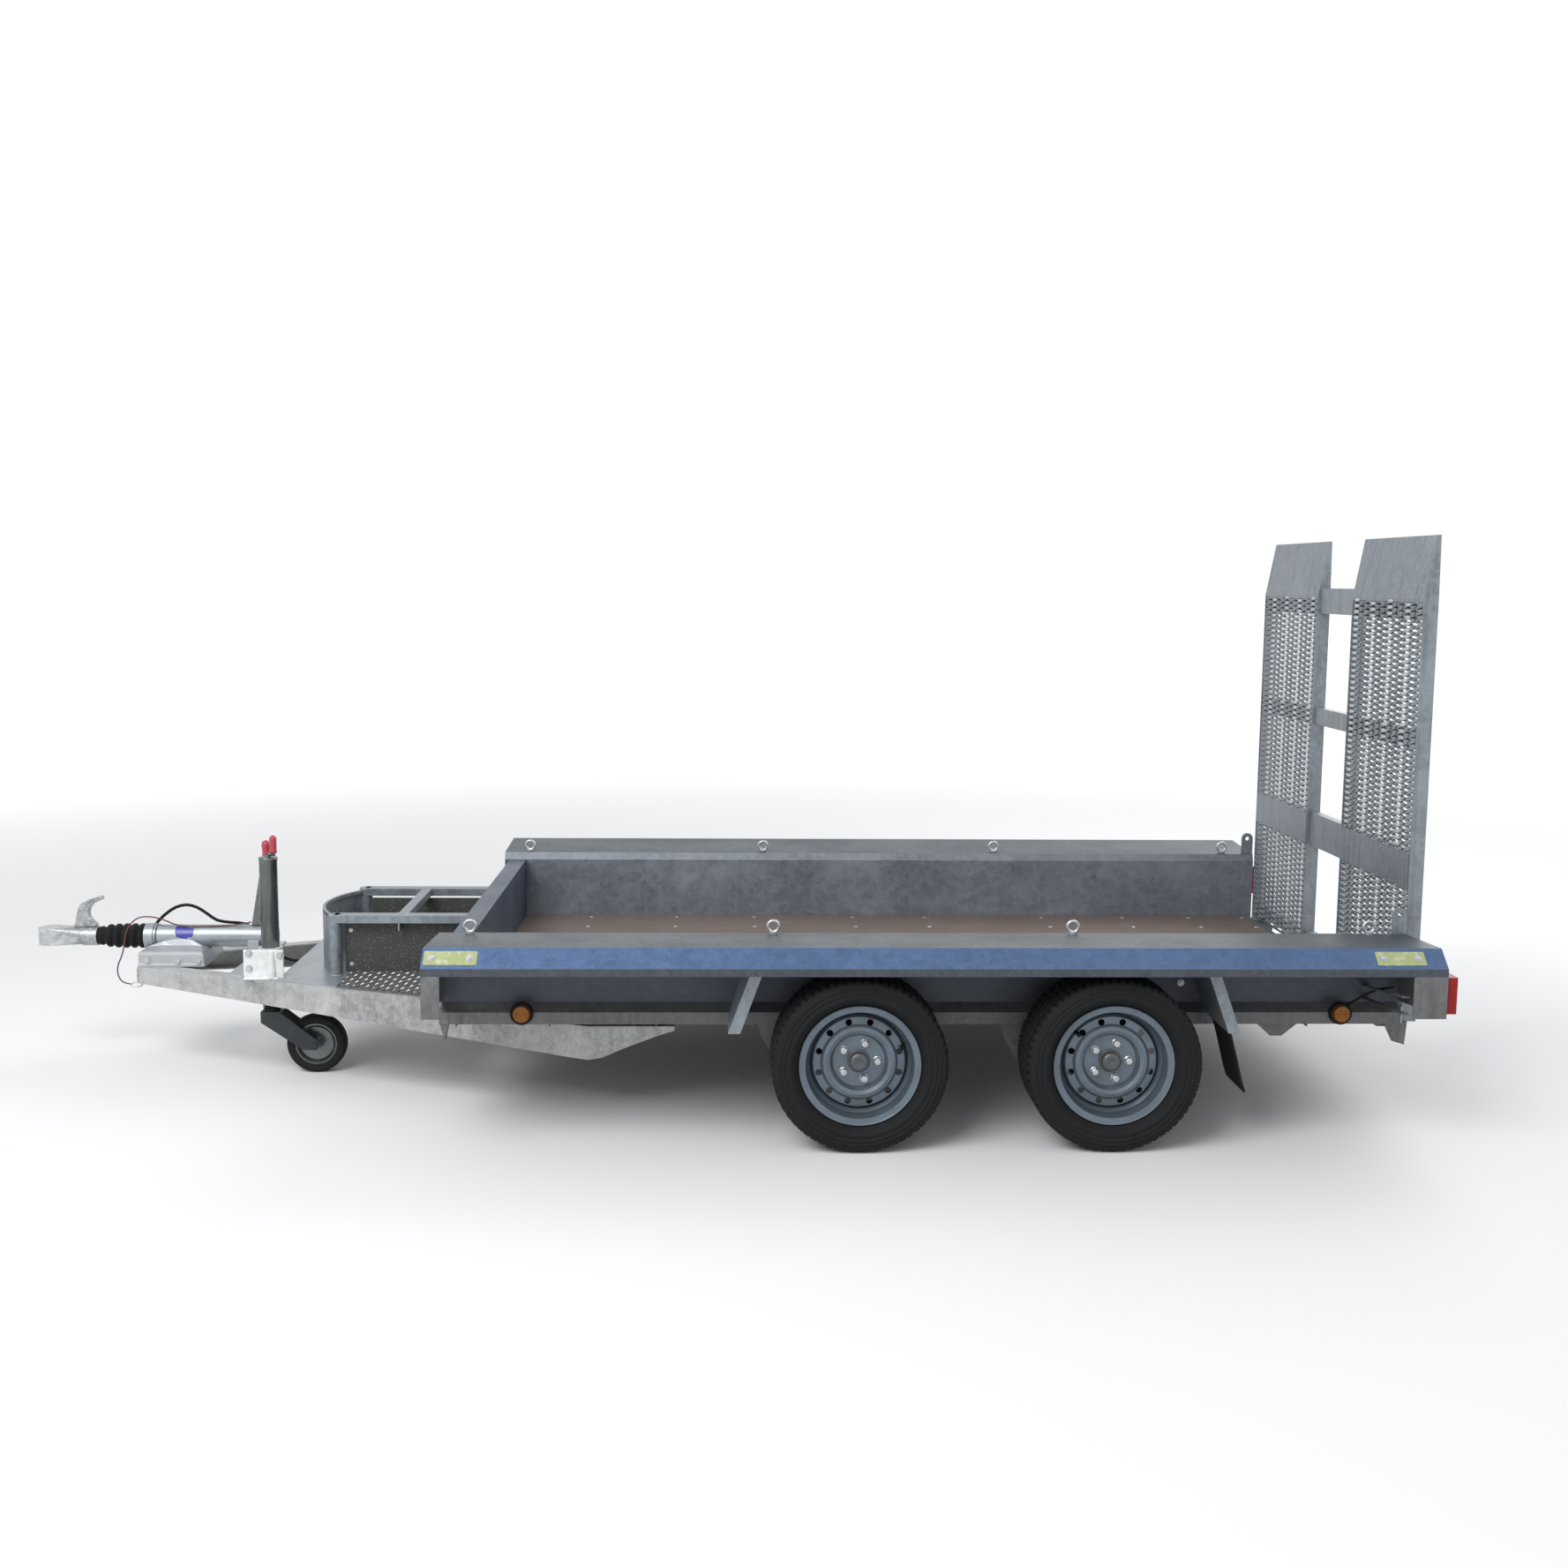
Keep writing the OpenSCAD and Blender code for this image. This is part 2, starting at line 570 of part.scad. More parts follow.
// Jockey wheel: fork, rim and tyre
fork_z = 208;
wheel_x = crank_x + jockey_trail;
jockey_axle = jockey_d / 2;
module jockey_fork() color(dark_galv) {
  half = jockey_w / 2 + 7;
  translate([crank_x, -jockey_y, fork_z]) cylinder(r = jockey_tube_r - 3 - 0.05, h = 90);
  block([crank_x - 30, -jockey_y - half - 6, fork_z], [crank_x + 36, -jockey_y + half + 6, fork_z + 8]);
  for (y = [-jockey_y - half - 6, -jockey_y + half])
    translate([0, y, 0]) along_y(6) polygon([
      [crank_x - 30, fork_z + 4], [crank_x - 30, fork_z - 30], [wheel_x - 40, jockey_axle - 16],
      [wheel_x + 6, jockey_axle - 18], [wheel_x + 20, jockey_axle], [wheel_x + 6, jockey_axle + 18],
      [crank_x + 36, fork_z + 4]
    ]);
  cyl_y(wheel_x, jockey_axle, 7.95, -jockey_y - half - 12, 2 * half + 24);
}
module jockey_rim() color(bright_zinc) {
  translate([wheel_x, -jockey_y, jockey_axle]) rotate([90, 0, 0]) rotate_extrude()
    polygon([[8, -28], [16, -28], [16, -6], [56, -10], [66, -21], [70, -21], [70, 21], [66, 21], [56, 10], [16, 6], [16, 28], [8, 28]]);
}
module jockey_tyre() color(rubber) {
  r = jockey_d / 2;
  translate([wheel_x, -jockey_y, jockey_axle]) rotate([90, 0, 0]) rotate_extrude()
    polygon(concat([[70, -jockey_w / 2 + 4]], arc([r - 12, -jockey_w / 2 + 12], 12, -90, 0, 5),
      arc([r - 12, jockey_w / 2 - 12], 12, 0, 90, 5), [[70, jockey_w / 2 - 4]]));
}

// Road wheels. Each is drawn on the +Y side with its axis along Y.
module on_wheel(axle, right) translate([axle_xs[axle], 0, wheel_r])
  mirror([0, right ? 0 : 1, 0]) rotate([-90, 0, 0]) children();

bead_r = rim_d / 2;
module tyre(axle, right) color(rubber) on_wheel(axle, right) translate([0, 0, tyre_y]) rotate_extrude($fn = 96) {
  w = tyre_w / 2;
  half = rim_w / 2;
  polygon(concat(
    [[bead_r + 0.1, -half + 4], [bead_r + 17, -half + 2], [bead_r + 22, -half - 3], [bead_r + 46, -w]],
    arc([wheel_r - 22, -w + 24], 22, -80, 0, 5), arc([wheel_r - 22, w - 24], 22, 0, 80, 5),
    [[bead_r + 46, w], [bead_r + 22, half + 3], [bead_r + 17, half - 2], [bead_r + 0.1, half - 4],
      [bead_r + 0.1, half - 14], [wheel_r - 12, w - 40], [wheel_r - 12, -w + 40],
      [bead_r + 0.1, -half + 14]]));
}

module wheel(axle, right) color(dark_galv) on_wheel(axle, right) difference() {
  half = rim_w / 2;
  well_r = bead_r - 16;
  union() {
    // Barrel with its flanges and well
    translate([0, 0, tyre_y]) rotate_extrude($fn = 96) polygon(strip([
      [bead_r + 17, -half - 3], [bead_r + 13, -half - 1], [bead_r - 0.4, -half + 2], [bead_r - 3, -half + 22],
      [well_r, -half + 34], [well_r, 16], [bead_r - 6, 30], [bead_r - 5, 46], [bead_r - 0.4, half - 2],
      [bead_r + 13, half + 1], [bead_r + 17, half + 3]
    ], 3.5));
    // Disc with its raised ring and the sloped rim that holds the vents
    translate([0, 0, disc_y]) rotate_extrude($fn = 96) polygon(strip([
      [33, 0], [80, 0], [90, 18], [98, 22], [106, 20], [114, 12], [134, 10], [well_r - 4, -10]
    ], 4));
  }
  for (i = [0:11]) rotate([0, 0, i * 30 + 15]) translate([124, 0, disc_y - 40]) cylinder(r = 10, h = 70);
  for (i = [0:4]) rotate([0, 0, i * 72]) translate([wheel_pcd / 2, 0, disc_y - 10]) cylinder(r = 7.5, h = 30);
}

// Drum, hub, dust cap and wheel bolts
module drum(axle, right) color([0.30, 0.31, 0.33]) on_wheel(axle, right) {
  back = arm_y + arm_t + 8;
  difference() {
    union() {
      translate([0, 0, back]) cylinder(r = 118, h = 62);
      translate([0, 0, back + 55]) cylinder(r = 76, h = disc_y - clear - back - 55);
      translate([0, 0, disc_y - 4]) cylinder(r = 31, h = 12);
      translate([0, 0, disc_y + 8]) cylinder(r = 28, h = 20);
    }
    translate([0, 0, arm_y]) cylinder(r = spindle_r + 0.05, h = disc_y - arm_y - 4);
    translate([0, 0, back - 1]) cylinder(r = 106, h = 56);
  }
  for (i = [0:4]) rotate([0, 0, i * 72]) translate([wheel_pcd / 2, 0, disc_y - 10]) {
    cylinder(r = 7, h = 16);
    translate([0, 0, 14.2]) cylinder(r = 10, h = 12, $fn = 6);
  }
}

// Puts the trailer's origin under its middle
module place() translate([-mid_x, 0, 0]) children();

place() drawbar_beams();
place() drawbar_head();
place() overrun_housing();
place() gaiter();
place() coupling_head();
place() coupling_handle();
place() handbrake_lever();
place() red_grips();
place() jockey_bracket();
place() jockey_tube();
place() tongue_deck();
place() bucket_rest();
place() rest_lining();
place() side_left();
place() side_right();
place() front_wall();
place() deck();
place() chassis_frame();
place() end_plates();
place() arch_braces();
place() mudflaps();
place() side_markers();
place() tail_lamps();
place() front_axle();
place() rear_axle();
place() lashing_rings();
place() ramp_locks();
place() ramp_frame();
place() ramp_treads();
place() jockey_fork();
place() jockey_rim();
place() jockey_tyre();
place() tyre(0, false);  // tyre_fl
place() tyre(0, true);  // tyre_fr
place() tyre(1, false);  // tyre_rl
place() tyre(1, true);  // tyre_rr
place() wheel(0, false);  // wheel_fl
place() wheel(0, true);  // wheel_fr
place() wheel(1, false);  // wheel_rl
place() wheel(1, true);  // wheel_rr
place() drum(0, false);  // drum_fl
place() drum(0, true);  // drum_fr
place() drum(1, false);  // drum_rl
place() drum(1, true);  // drum_rr
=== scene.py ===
"""Finishes and fittings of a galvanised plant trailer.

The file is laid out as an add-on and is run as a script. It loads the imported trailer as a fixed
frame, gives every node its finish, and adds what the solids leave out: road treads, bolts, weld
beads, reflectors, lens ribs and the grip of the treads.
"""

import json
import math

import bmesh
import bpy
from bpy.props import FloatProperty, FloatVectorProperty, IntProperty, PointerProperty
from mathutils import Matrix, Vector


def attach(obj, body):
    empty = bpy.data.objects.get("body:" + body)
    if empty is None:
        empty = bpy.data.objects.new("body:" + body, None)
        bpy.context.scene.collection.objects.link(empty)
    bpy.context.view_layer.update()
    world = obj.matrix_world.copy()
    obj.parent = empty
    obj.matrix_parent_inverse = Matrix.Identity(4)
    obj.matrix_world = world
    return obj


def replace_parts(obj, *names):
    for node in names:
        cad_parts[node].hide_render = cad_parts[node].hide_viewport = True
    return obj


bl_info = {
    "name": "Plant trailer finishes",
    "version": (1, 0, 0),
    "blender": (4, 5, 0),
    "location": "3D View > Sidebar > Trailer",
    "description": "Finishes and small fittings for the packed plant trailer",
    "category": "Object",
}

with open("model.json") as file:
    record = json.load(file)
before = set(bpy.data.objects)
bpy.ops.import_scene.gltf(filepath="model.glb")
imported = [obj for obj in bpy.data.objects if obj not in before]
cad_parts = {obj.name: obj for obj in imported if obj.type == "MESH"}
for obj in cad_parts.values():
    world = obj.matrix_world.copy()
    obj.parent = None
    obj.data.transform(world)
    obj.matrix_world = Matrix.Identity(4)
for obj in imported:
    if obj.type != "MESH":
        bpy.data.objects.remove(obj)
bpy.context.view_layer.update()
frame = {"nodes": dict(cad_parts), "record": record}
NODES = frame["nodes"]

# The solids' source counts X from the bed's front end. This is that end in the row frame.
BED_FRONT = -0.763
AXLES = {"f": 1.275 + BED_FRONT, "r": 2.030 + BED_FRONT}
WHEELS = {"fl": "front_left_wheel", "fr": "front_right_wheel",
          "rl": "rear_left_wheel", "rr": "rear_right_wheel"}


def bed(x, y, z):
    """A point from millimetres behind the bed's front end, off the middle and above the ground."""
    return Vector((x / 1000 + BED_FRONT, y / 1000, z / 1000))


# ---- Sizes and colours a user may change


def colour(label, text, value):
    return FloatVectorProperty(name=label, description=text, subtype="COLOR", size=3,
                               min=0.0, max=1.0, default=value)


def length(label, text, value, low, high):
    return FloatProperty(name=label, description=text, subtype="DISTANCE", unit="LENGTH",
                         default=value, min=low, max=high, precision=4)


class TrailerColours(bpy.types.PropertyGroup):
    """Colours of the trailer's finishes"""

    sheet_dark: colour("Sheet, dark", "Dark crystals of the bed's folded sheets", (0.140, 0.158, 0.190))
    sheet_light: colour("Sheet, light", "Light crystals of the bed's folded sheets", (0.250, 0.270, 0.305))
    # Ledge and skirt colours: darker copies of the sheet's, for faces that look up and upright faces that look out, as
    # painted shade
    ledge_shade_dark: colour("Ledge in painted shade, dark", "Dark crystals, darkened as painted shade, of the ledges' tops", (0.045, 0.058, 0.075))
    ledge_shade_light: colour("Ledge in painted shade, light", "Light crystals, darkened as painted shade, of the ledges' tops", (0.075, 0.090, 0.110))
    skirt_shade_dark: colour("Skirt in painted shade, dark", "Dark crystals, darkened as painted shade, of the upright faces that look outwards", (0.040, 0.046, 0.060))
    skirt_shade_light: colour("Skirt in painted shade, light", "Light crystals, darkened as painted shade, of the upright faces that look outwards", (0.080, 0.090, 0.112))
    # Front wall colours: a darker, bluer copy of the sheet's, as painted shade
    front_shade_dark: colour("Front wall in painted shade, dark", "Dark crystals, darkened as painted shade, of the bed's front wall", (0.035, 0.052, 0.085))
    front_shade_light: colour("Front wall in painted shade, light", "Light crystals, darkened as painted shade, of the bed's front wall", (0.075, 0.100, 0.145))
    bar_dark: colour("Drawbar, dark", "Dark crystals of the drawbar", (0.19, 0.20, 0.20))
    bar_light: colour("Drawbar, light", "Light crystals of the drawbar", (0.49, 0.495, 0.49))
    under_dark: colour("Chassis, dark", "Dark crystals of the chassis and braces", (0.095, 0.096, 0.104))
    under_light: colour("Chassis, light", "Light crystals of the chassis and braces", (0.195, 0.192, 0.195))
    ramp_dark: colour("Ramp, dark", "Dark crystals of the ramp", (0.15, 0.175, 0.195))
    ramp_light: colour("Ramp, light", "Light crystals of the ramp", (0.285, 0.32, 0.35))
    zinc: colour("Zinc plate", "Bright zinc of the coupling and the fasteners", (0.55, 0.57, 0.59))
    rubber: colour("Rubber", "Tyres, flaps and bellows", (0.009, 0.010, 0.011))
    wheel: colour("Wheel paint", "Silver-grey paint of the road wheels", (0.135, 0.168, 0.205))
    hub: colour("Hub", "Cast drum and hub", (0.11, 0.12, 0.13))
    ply: colour("Plywood", "Film-faced plywood deck", (0.135, 0.098, 0.082))
    board: colour("Lining", "Speckled lining of the bucket rest", (0.045, 0.046, 0.043))
    red: colour("Grips", "Red moulded grips", (0.42, 0.035, 0.06))
    amber: colour("Side lamps", "Amber lenses", (0.30, 0.105, 0.006))
    lens: colour("Tail lamps", "Red lenses", (0.32, 0.012, 0.012))
    reflector: colour("Reflectors", "Yellow reflective plates", (0.37, 0.42, 0.19))
    # Bevel colours: a blue copy of the sheet's for the sloped faces, as painted sky reflection
    bevel_sky_dark: colour("Bevel in painted sky reflection, dark", "Dark crystals, tinted blue as painted sky reflection, of the ledges' sloped edge", (0.055, 0.100, 0.205))
    bevel_sky_light: colour("Bevel in painted sky reflection, light", "Light crystals, tinted blue as painted sky reflection, of the ledges' sloped edge", (0.090, 0.155, 0.290))
    casting: colour("Casting", "Cast coupling and the saddle of the overrun tube", (0.42, 0.44, 0.46))
    stem: colour("Stem", "Dark zinc of the jockey wheel's tube and fork", (0.16, 0.175, 0.175))
    fork: colour("Fork", "Dark zinc of the jockey wheel's fork", (0.045, 0.050, 0.054))
    tube: colour("Overrun tube", "Dull zinc of the overrun tube", (0.36, 0.40, 0.43))
    head: colour("Coupling", "Dull cast zinc of the coupling", (0.24, 0.25, 0.255))
    bracket: colour("Bracket", "Pale plate of the jockey wheel's bracket", (0.80, 0.81, 0.80))
    cap_dark: colour("Dust cap", "Dull zinc of the dust caps and the hubs' middles", (0.11, 0.12, 0.125))
    cap: colour("Blue mark", "Blank blue mark on the overrun tube", (0.010, 0.020, 0.31))
    cord: colour("Breakaway cable", "Red-brown cover of the breakaway cable", (0.135, 0.022, 0.018))
    dust: colour("Road dust", "Dust on the low pieces", (0.16, 0.14, 0.12))


class TrailerTyres(bpy.types.PropertyGroup):
    """Sizes of the road tyres' tread"""

    groove: length("Groove width", "Width of the grooves round the tread", 0.007, 0.003, 0.012)
    depth: length("Tread depth", "Depth of the tread's grooves", 0.006, 0.002, 0.009)
    blocks: IntProperty(name="Blocks", description="Blocks round one tyre", default=64, min=24, max=96)


class TrailerFasteners(bpy.types.PropertyGroup):
    """Sizes of the bolts and weld beads"""

    hexagon: length("Bolt head", "Half width across the corners of a bolt's head", 0.0105, 0.005, 0.02)
    height: length("Head height", "Height of a bolt's head", 0.0065, 0.003, 0.012)
    bead: length("Weld bead", "Half width of a weld bead", 0.0035, 0.002, 0.008)


class TrailerGrating(bpy.types.PropertyGroup):
    """Sizes of the ramp's expanded metal"""

    bead_pitch: length("Knuckle pitch", "Distance between knuckles up the ramp", 0.020, 0.012, 0.040)
    column_pitch: length("Column pitch", "Distance between columns of openings", 0.0475, 0.03, 0.1)
    strand: length("Strand", "Width of a strand", 0.0124, 0.003, 0.015)
    knuckle: length("Knuckle", "Width of a knuckle", 0.048, 0.012, 0.05)


class TrailerStage(bpy.types.PropertyGroup):
    """Floor and lamps"""

    floor: colour("Floor", "Plain pale floor", (0.86, 0.86, 0.86))
    key: FloatProperty(name="Key lamp", description="Power of the large soft lamp", unit="POWER",
                       default=420.0, min=0.0, max=3000.0)
    fill: FloatProperty(name="Fill lamp", description="Power of the lamp behind", unit="POWER",
                        default=160.0, min=0.0, max=3000.0)
    sky: FloatProperty(name="Sky", description="Strength of the even light from all round",
                       default=0.62, min=0.0, max=2.0)


# ---- Node trees


class Tree:
    """Adds nodes to one shader tree and joins them."""

    def __init__(self, tree):
        self.tree = tree
        self.count = 0

    def add(self, kind, values=None, out=0, **settings):
        """A node with its settings and inputs; gives its output socket."""
        made = self.tree.nodes.new(kind)
        made.location = (180 * (self.count % 9), -220 * (self.count // 9))
        self.count += 1
        for name, value in settings.items():
            setattr(made, name, value)
        for name, value in (values or {}).items():
            if isinstance(value, bpy.types.NodeSocket):
                self.tree.links.new(value, made.inputs[name])
            else:
                made.inputs[name].default_value = value
        return made.outputs[out]

    def calc(self, operation, a, b=0.0, clamp=False):
        return self.add("ShaderNodeMath", {0: a, 1: b}, operation=operation, use_clamp=clamp)

    def span(self, value, low, high, to_low=0.0, to_high=1.0):
        return self.add("ShaderNodeMapRange", {"Value": value, "From Min": low, "From Max": high,
                                               "To Min": to_low, "To Max": to_high})

    def mix(self, share, a, b):
        made = self.tree.nodes.new("ShaderNodeMix")
        made.data_type = "RGBA"
        made.location = (180 * (self.count % 9), -220 * (self.count // 9))
        self.count += 1
        for index, value in ((0, share), (6, a), (7, b)):
            if isinstance(value, bpy.types.NodeSocket):
                self.tree.links.new(value, made.inputs[index])
            else:
                made.inputs[index].default_value = value
        return made.outputs[2]

    def noise(self, place, scale, detail=3.0, rough=0.55, out=0):
        return self.add("ShaderNodeTexNoise", {"Vector": place, "Scale": scale, "Detail": detail,
                                               "Roughness": rough}, out)

    def spots(self, place, scale, out="Color", feature="F1"):
        return self.add("ShaderNodeTexVoronoi", {"Vector": place, "Scale": scale}, out, feature=feature)

    def place(self, scale=(1.0, 1.0, 1.0)):
        where = self.add("ShaderNodeTexCoord", out="Object")
        return self.add("ShaderNodeMapping", {"Vector": where, "Scale": scale})

    def red(self, socket):
        return self.add("ShaderNodeSeparateColor", {"Color": socket})

    def group(self, name, values, out="Mask"):
        """One of the shared effects; out names its output."""
        return self.add("ShaderNodeGroup", values, out, node_tree=bpy.data.node_groups[name])


def effect(name, inputs, outputs, build):
    """A shader node group; build(tree, inputs) gives the socket for each output."""
    group = bpy.data.node_groups.new(name, "ShaderNodeTree")
    for label, value in inputs.items():
        group.interface.new_socket(label, in_out="INPUT", socket_type="NodeSocketFloat").default_value = value
    for label in outputs:
        group.interface.new_socket(label, in_out="OUTPUT", socket_type="NodeSocketFloat")
    given = group.nodes.new("NodeGroupInput")
    taken = group.nodes.new("NodeGroupOutput")
    found = build(Tree(group), given.outputs)
    for label, socket in zip(outputs, found):
        group.links.new(socket, taken.inputs[label])


def spangle(t, given):
    """Crystals of hot-dip zinc, in flakes of two sizes with a fine grain over them."""
    where = t.place()
    bend = t.add("ShaderNodeVectorMath", {0: t.noise(where, 14.0, out="Color"), "Scale": 0.05},
                 operation="SCALE")
    bent = t.add("ShaderNodeVectorMath", {0: where, 1: bend}, operation="ADD")
    large = t.red(t.spots(bent, given["Scale"]))
    small = t.red(t.spots(bent, t.calc("MULTIPLY", given["Scale"], 2.7)))
    grain = t.noise(where, t.calc("MULTIPLY", given["Scale"], 6.0), 2.0)
    tone = t.calc("ADD", t.calc("MULTIPLY", large, 0.42), t.calc("MULTIPLY", small, 0.30))
    tone = t.calc("ADD", tone, t.calc("MULTIPLY", grain, 0.30), clamp=True)
    return tone, t.calc("ADD", t.calc("MULTIPLY", large, 0.5), t.calc("MULTIPLY", grain, 0.5))


def weather(t, given):
    """Cloudy patches, and runs that follow the wet down an upright face."""
    patch = t.span(t.noise(t.place(), given["Scale"], 5.0, 0.62), 0.44, 0.66)
    runs = t.noise(t.place((14.0, 14.0, 0.9)), t.calc("MULTIPLY", given["Scale"], 0.6), 4.0, 0.6)
    face = t.add("ShaderNodeNewGeometry", out="Normal")
    up = t.calc("ABSOLUTE", t.add("ShaderNodeSeparateXYZ", {0: face}, out="Z"))
    upright = t.span(up, 0.2, 0.8, 1.0, 0.0)
    return patch, t.calc("MULTIPLY", t.span(runs, 0.50, 0.72), upright)


def road_dust(t, given):
    """Dust that thickens towards the ground and on faces that look up."""
    where = t.place()
    height = t.add("ShaderNodeSeparateXYZ", {0: where}, out="Z")
    low = t.span(height, given["Bottom"], given["Top"], 1.0, 0.0)
    cloud = t.span(t.noise(where, 7.0, 5.0, 0.65), 0.30, 0.75)
    face = t.add("ShaderNodeNewGeometry", out="Normal")
    up = t.span(t.add("ShaderNodeSeparateXYZ", {0: face}, out="Z"), 0.3, 1.0, 0.0, 0.35)
    both = t.calc("MAXIMUM", low, up)
    return (t.calc("MULTIPLY", t.calc("MULTIPLY", both, cloud), given["Amount"], clamp=True),)


def fine_grain(t, given):
    """Tiny pits and waves of moulded or painted faces."""
    where = t.place()
    pits = t.noise(where, given["Scale"], 2.0)
    waves = t.noise(where, t.calc("MULTIPLY", given["Scale"], 0.08), 3.0)
    return t.calc("ADD", t.calc("MULTIPLY", pits, 0.6), t.calc("MULTIPLY", waves, 0.4)), waves


def make_effects():
    effect("Zinc spangle", {"Scale": 60.0}, ("Tone", "Height"), spangle)
    effect("Weather", {"Scale": 3.0}, ("Patches", "Runs"), weather)
    effect("Road dust", {"Bottom": 0.0, "Top": 0.6, "Amount": 0.5}, ("Mask",), road_dust)
    effect("Fine grain", {"Scale": 900.0}, ("Height", "Waves"), fine_grain)


def shader(name, base, rough, height=None, bump=0.2, reach=0.0006, **fixed):
    """Ends a material: base, rough and height are sockets or plain values, fixed are its own sockets."""
    tree = base.id_data if isinstance(base, bpy.types.NodeSocket) else name.node_tree
    t = Tree(tree)
    surface = next(n for n in tree.nodes if n.type == "BSDF_PRINCIPLED")
    for key, value in (("Base Color", base), ("Roughness", rough)):
        if isinstance(value, bpy.types.NodeSocket):
            tree.links.new(value, surface.inputs[key])
        else:
            surface.inputs[key].default_value = value
    for key, value in fixed.items():
        surface.inputs[key.replace("_", " ")].default_value = value
    if height is not None:
        normal = t.add("ShaderNodeBump", {"Height": height, "Strength": bump, "Distance": reach},
                       out="Normal")
        tree.links.new(normal, surface.inputs["Normal"])
    return name


def new_material(name):
    made = bpy.data.materials.new(name)
    made.use_nodes = True
    return made, Tree(made.node_tree)


def full(c):
    return (*c, 1.0)


def zinc_finish(name, dark, light, scale=60.0, metal=0.45, rough=0.42, film=0.25, runs=0.35, dust=0.35,
                top=0.45, dust_colour=(0.16, 0.14, 0.12)):
    """Hot-dip galvanised steel."""
    made, t = new_material(name)
    tone = t.group("Zinc spangle", {"Scale": scale}, "Tone")
    height = t.group("Zinc spangle", {"Scale": scale}, "Height")
    patches = t.group("Weather", {"Scale": 3.2}, "Patches")
    streaks = t.group("Weather", {"Scale": 5.0}, "Runs")
    base = t.mix(tone, full(dark), full(light))
    white = [min(1.0, c * 1.45 + 0.02) for c in light]
    base = t.mix(t.calc("MULTIPLY", patches, film), base, full(white))
    base = t.mix(t.calc("MULTIPLY", streaks, runs), base, full([c * 0.6 for c in dark]))
    mask = t.group("Road dust", {"Bottom": 0.1, "Top": top, "Amount": dust})
    base = t.mix(mask, base, full(dust_colour))
    gloss = t.calc("ADD", t.span(tone, 0.0, 1.0, rough - 0.07, rough + 0.10),
                   t.calc("MULTIPLY", patches, 0.12), clamp=True)
    return shader(made, base, gloss, height, 0.25, 0.0005, Metallic=metal)


def plated_finish(name, tint, rough=0.32, metal=0.75):
    """Bright zinc plate with a faint cloud and handling marks."""
    made, t = new_material(name)
    waves = t.group("Fine grain", {"Scale": 700.0}, "Waves")
    grain = t.group("Fine grain", {"Scale": 700.0}, "Height")
    patches = t.group("Weather", {"Scale": 11.0}, "Patches")
    base = t.mix(waves, full([c * 0.80 for c in tint]), full([min(1, c * 1.12) for c in tint]))
    base = t.mix(t.calc("MULTIPLY", patches, 0.35), base, full([c * 0.55 for c in tint]))
    gloss = t.span(waves, 0.0, 1.0, rough - 0.08, rough + 0.12)
    return shader(made, base, gloss, grain, 0.12, 0.0003, Metallic=metal)


def rubber_finish(name, tint, dust_colour, dust=0.45, scale=800.0):
    made, t = new_material(name)
    grain = t.group("Fine grain", {"Scale": scale}, "Height")
    waves = t.group("Fine grain", {"Scale": scale}, "Waves")
    base = t.mix(waves, full([c * 0.75 for c in tint]), full([c * 1.5 + 0.004 for c in tint]))
    mask = t.group("Road dust", {"Bottom": 0.0, "Top": 0.5, "Amount": dust})
    base = t.mix(t.calc("MULTIPLY", mask, 0.5), base, full([c * 0.45 for c in dust_colour]))
    gloss = t.span(waves, 0.0, 1.0, 0.58, 0.80)
    return shader(made, base, gloss, grain, 0.35, 0.0004, Specular_IOR_Level=0.14)


def painted_finish(name, tint, dust_colour, rough=0.36):
    """Silver wheel paint: fine flake, orange peel and brake dust."""
    made, t = new_material(name)
    where = t.place()
    flake = t.red(t.spots(where, 2600.0))
    waves = t.group("Fine grain", {"Scale": 420.0}, "Waves")
    patches = t.group("Weather", {"Scale": 9.0}, "Patches")
    base = t.mix(flake, full([c * 0.85 for c in tint]), full([min(1, c * 1.2) for c in tint]))
    base = t.mix(t.calc("MULTIPLY", patches, 0.30), base, full([c * 0.5 for c in dust_colour]))
    gloss = t.calc("ADD", t.span(waves, 0.0, 1.0, rough - 0.05, rough + 0.08),
                   t.calc("MULTIPLY", patches, 0.15), clamp=True)
    return shader(made, base, gloss, waves, 0.08, 0.0006, Metallic=0.55)


def cast_finish(name, tint, rough=0.5, rust=0.45):
    """Sand casting with patches of rust or grime."""
    made, t = new_material(name)
    where = t.place()
    sand = t.noise(where, 380.0, 3.0)
    patches = t.group("Weather", {"Scale": 12.0}, "Patches")
    base = t.mix(sand, full([c * 0.7 for c in tint]), full([min(1, c * 1.3) for c in tint]))
    base = t.mix(t.calc("MULTIPLY", patches, rust), base, full((0.16, 0.085, 0.045)))
    return shader(made, base, t.span(sand, 0.0, 1.0, rough, rough + 0.25), sand, 0.5, 0.0008, Metallic=0.4)


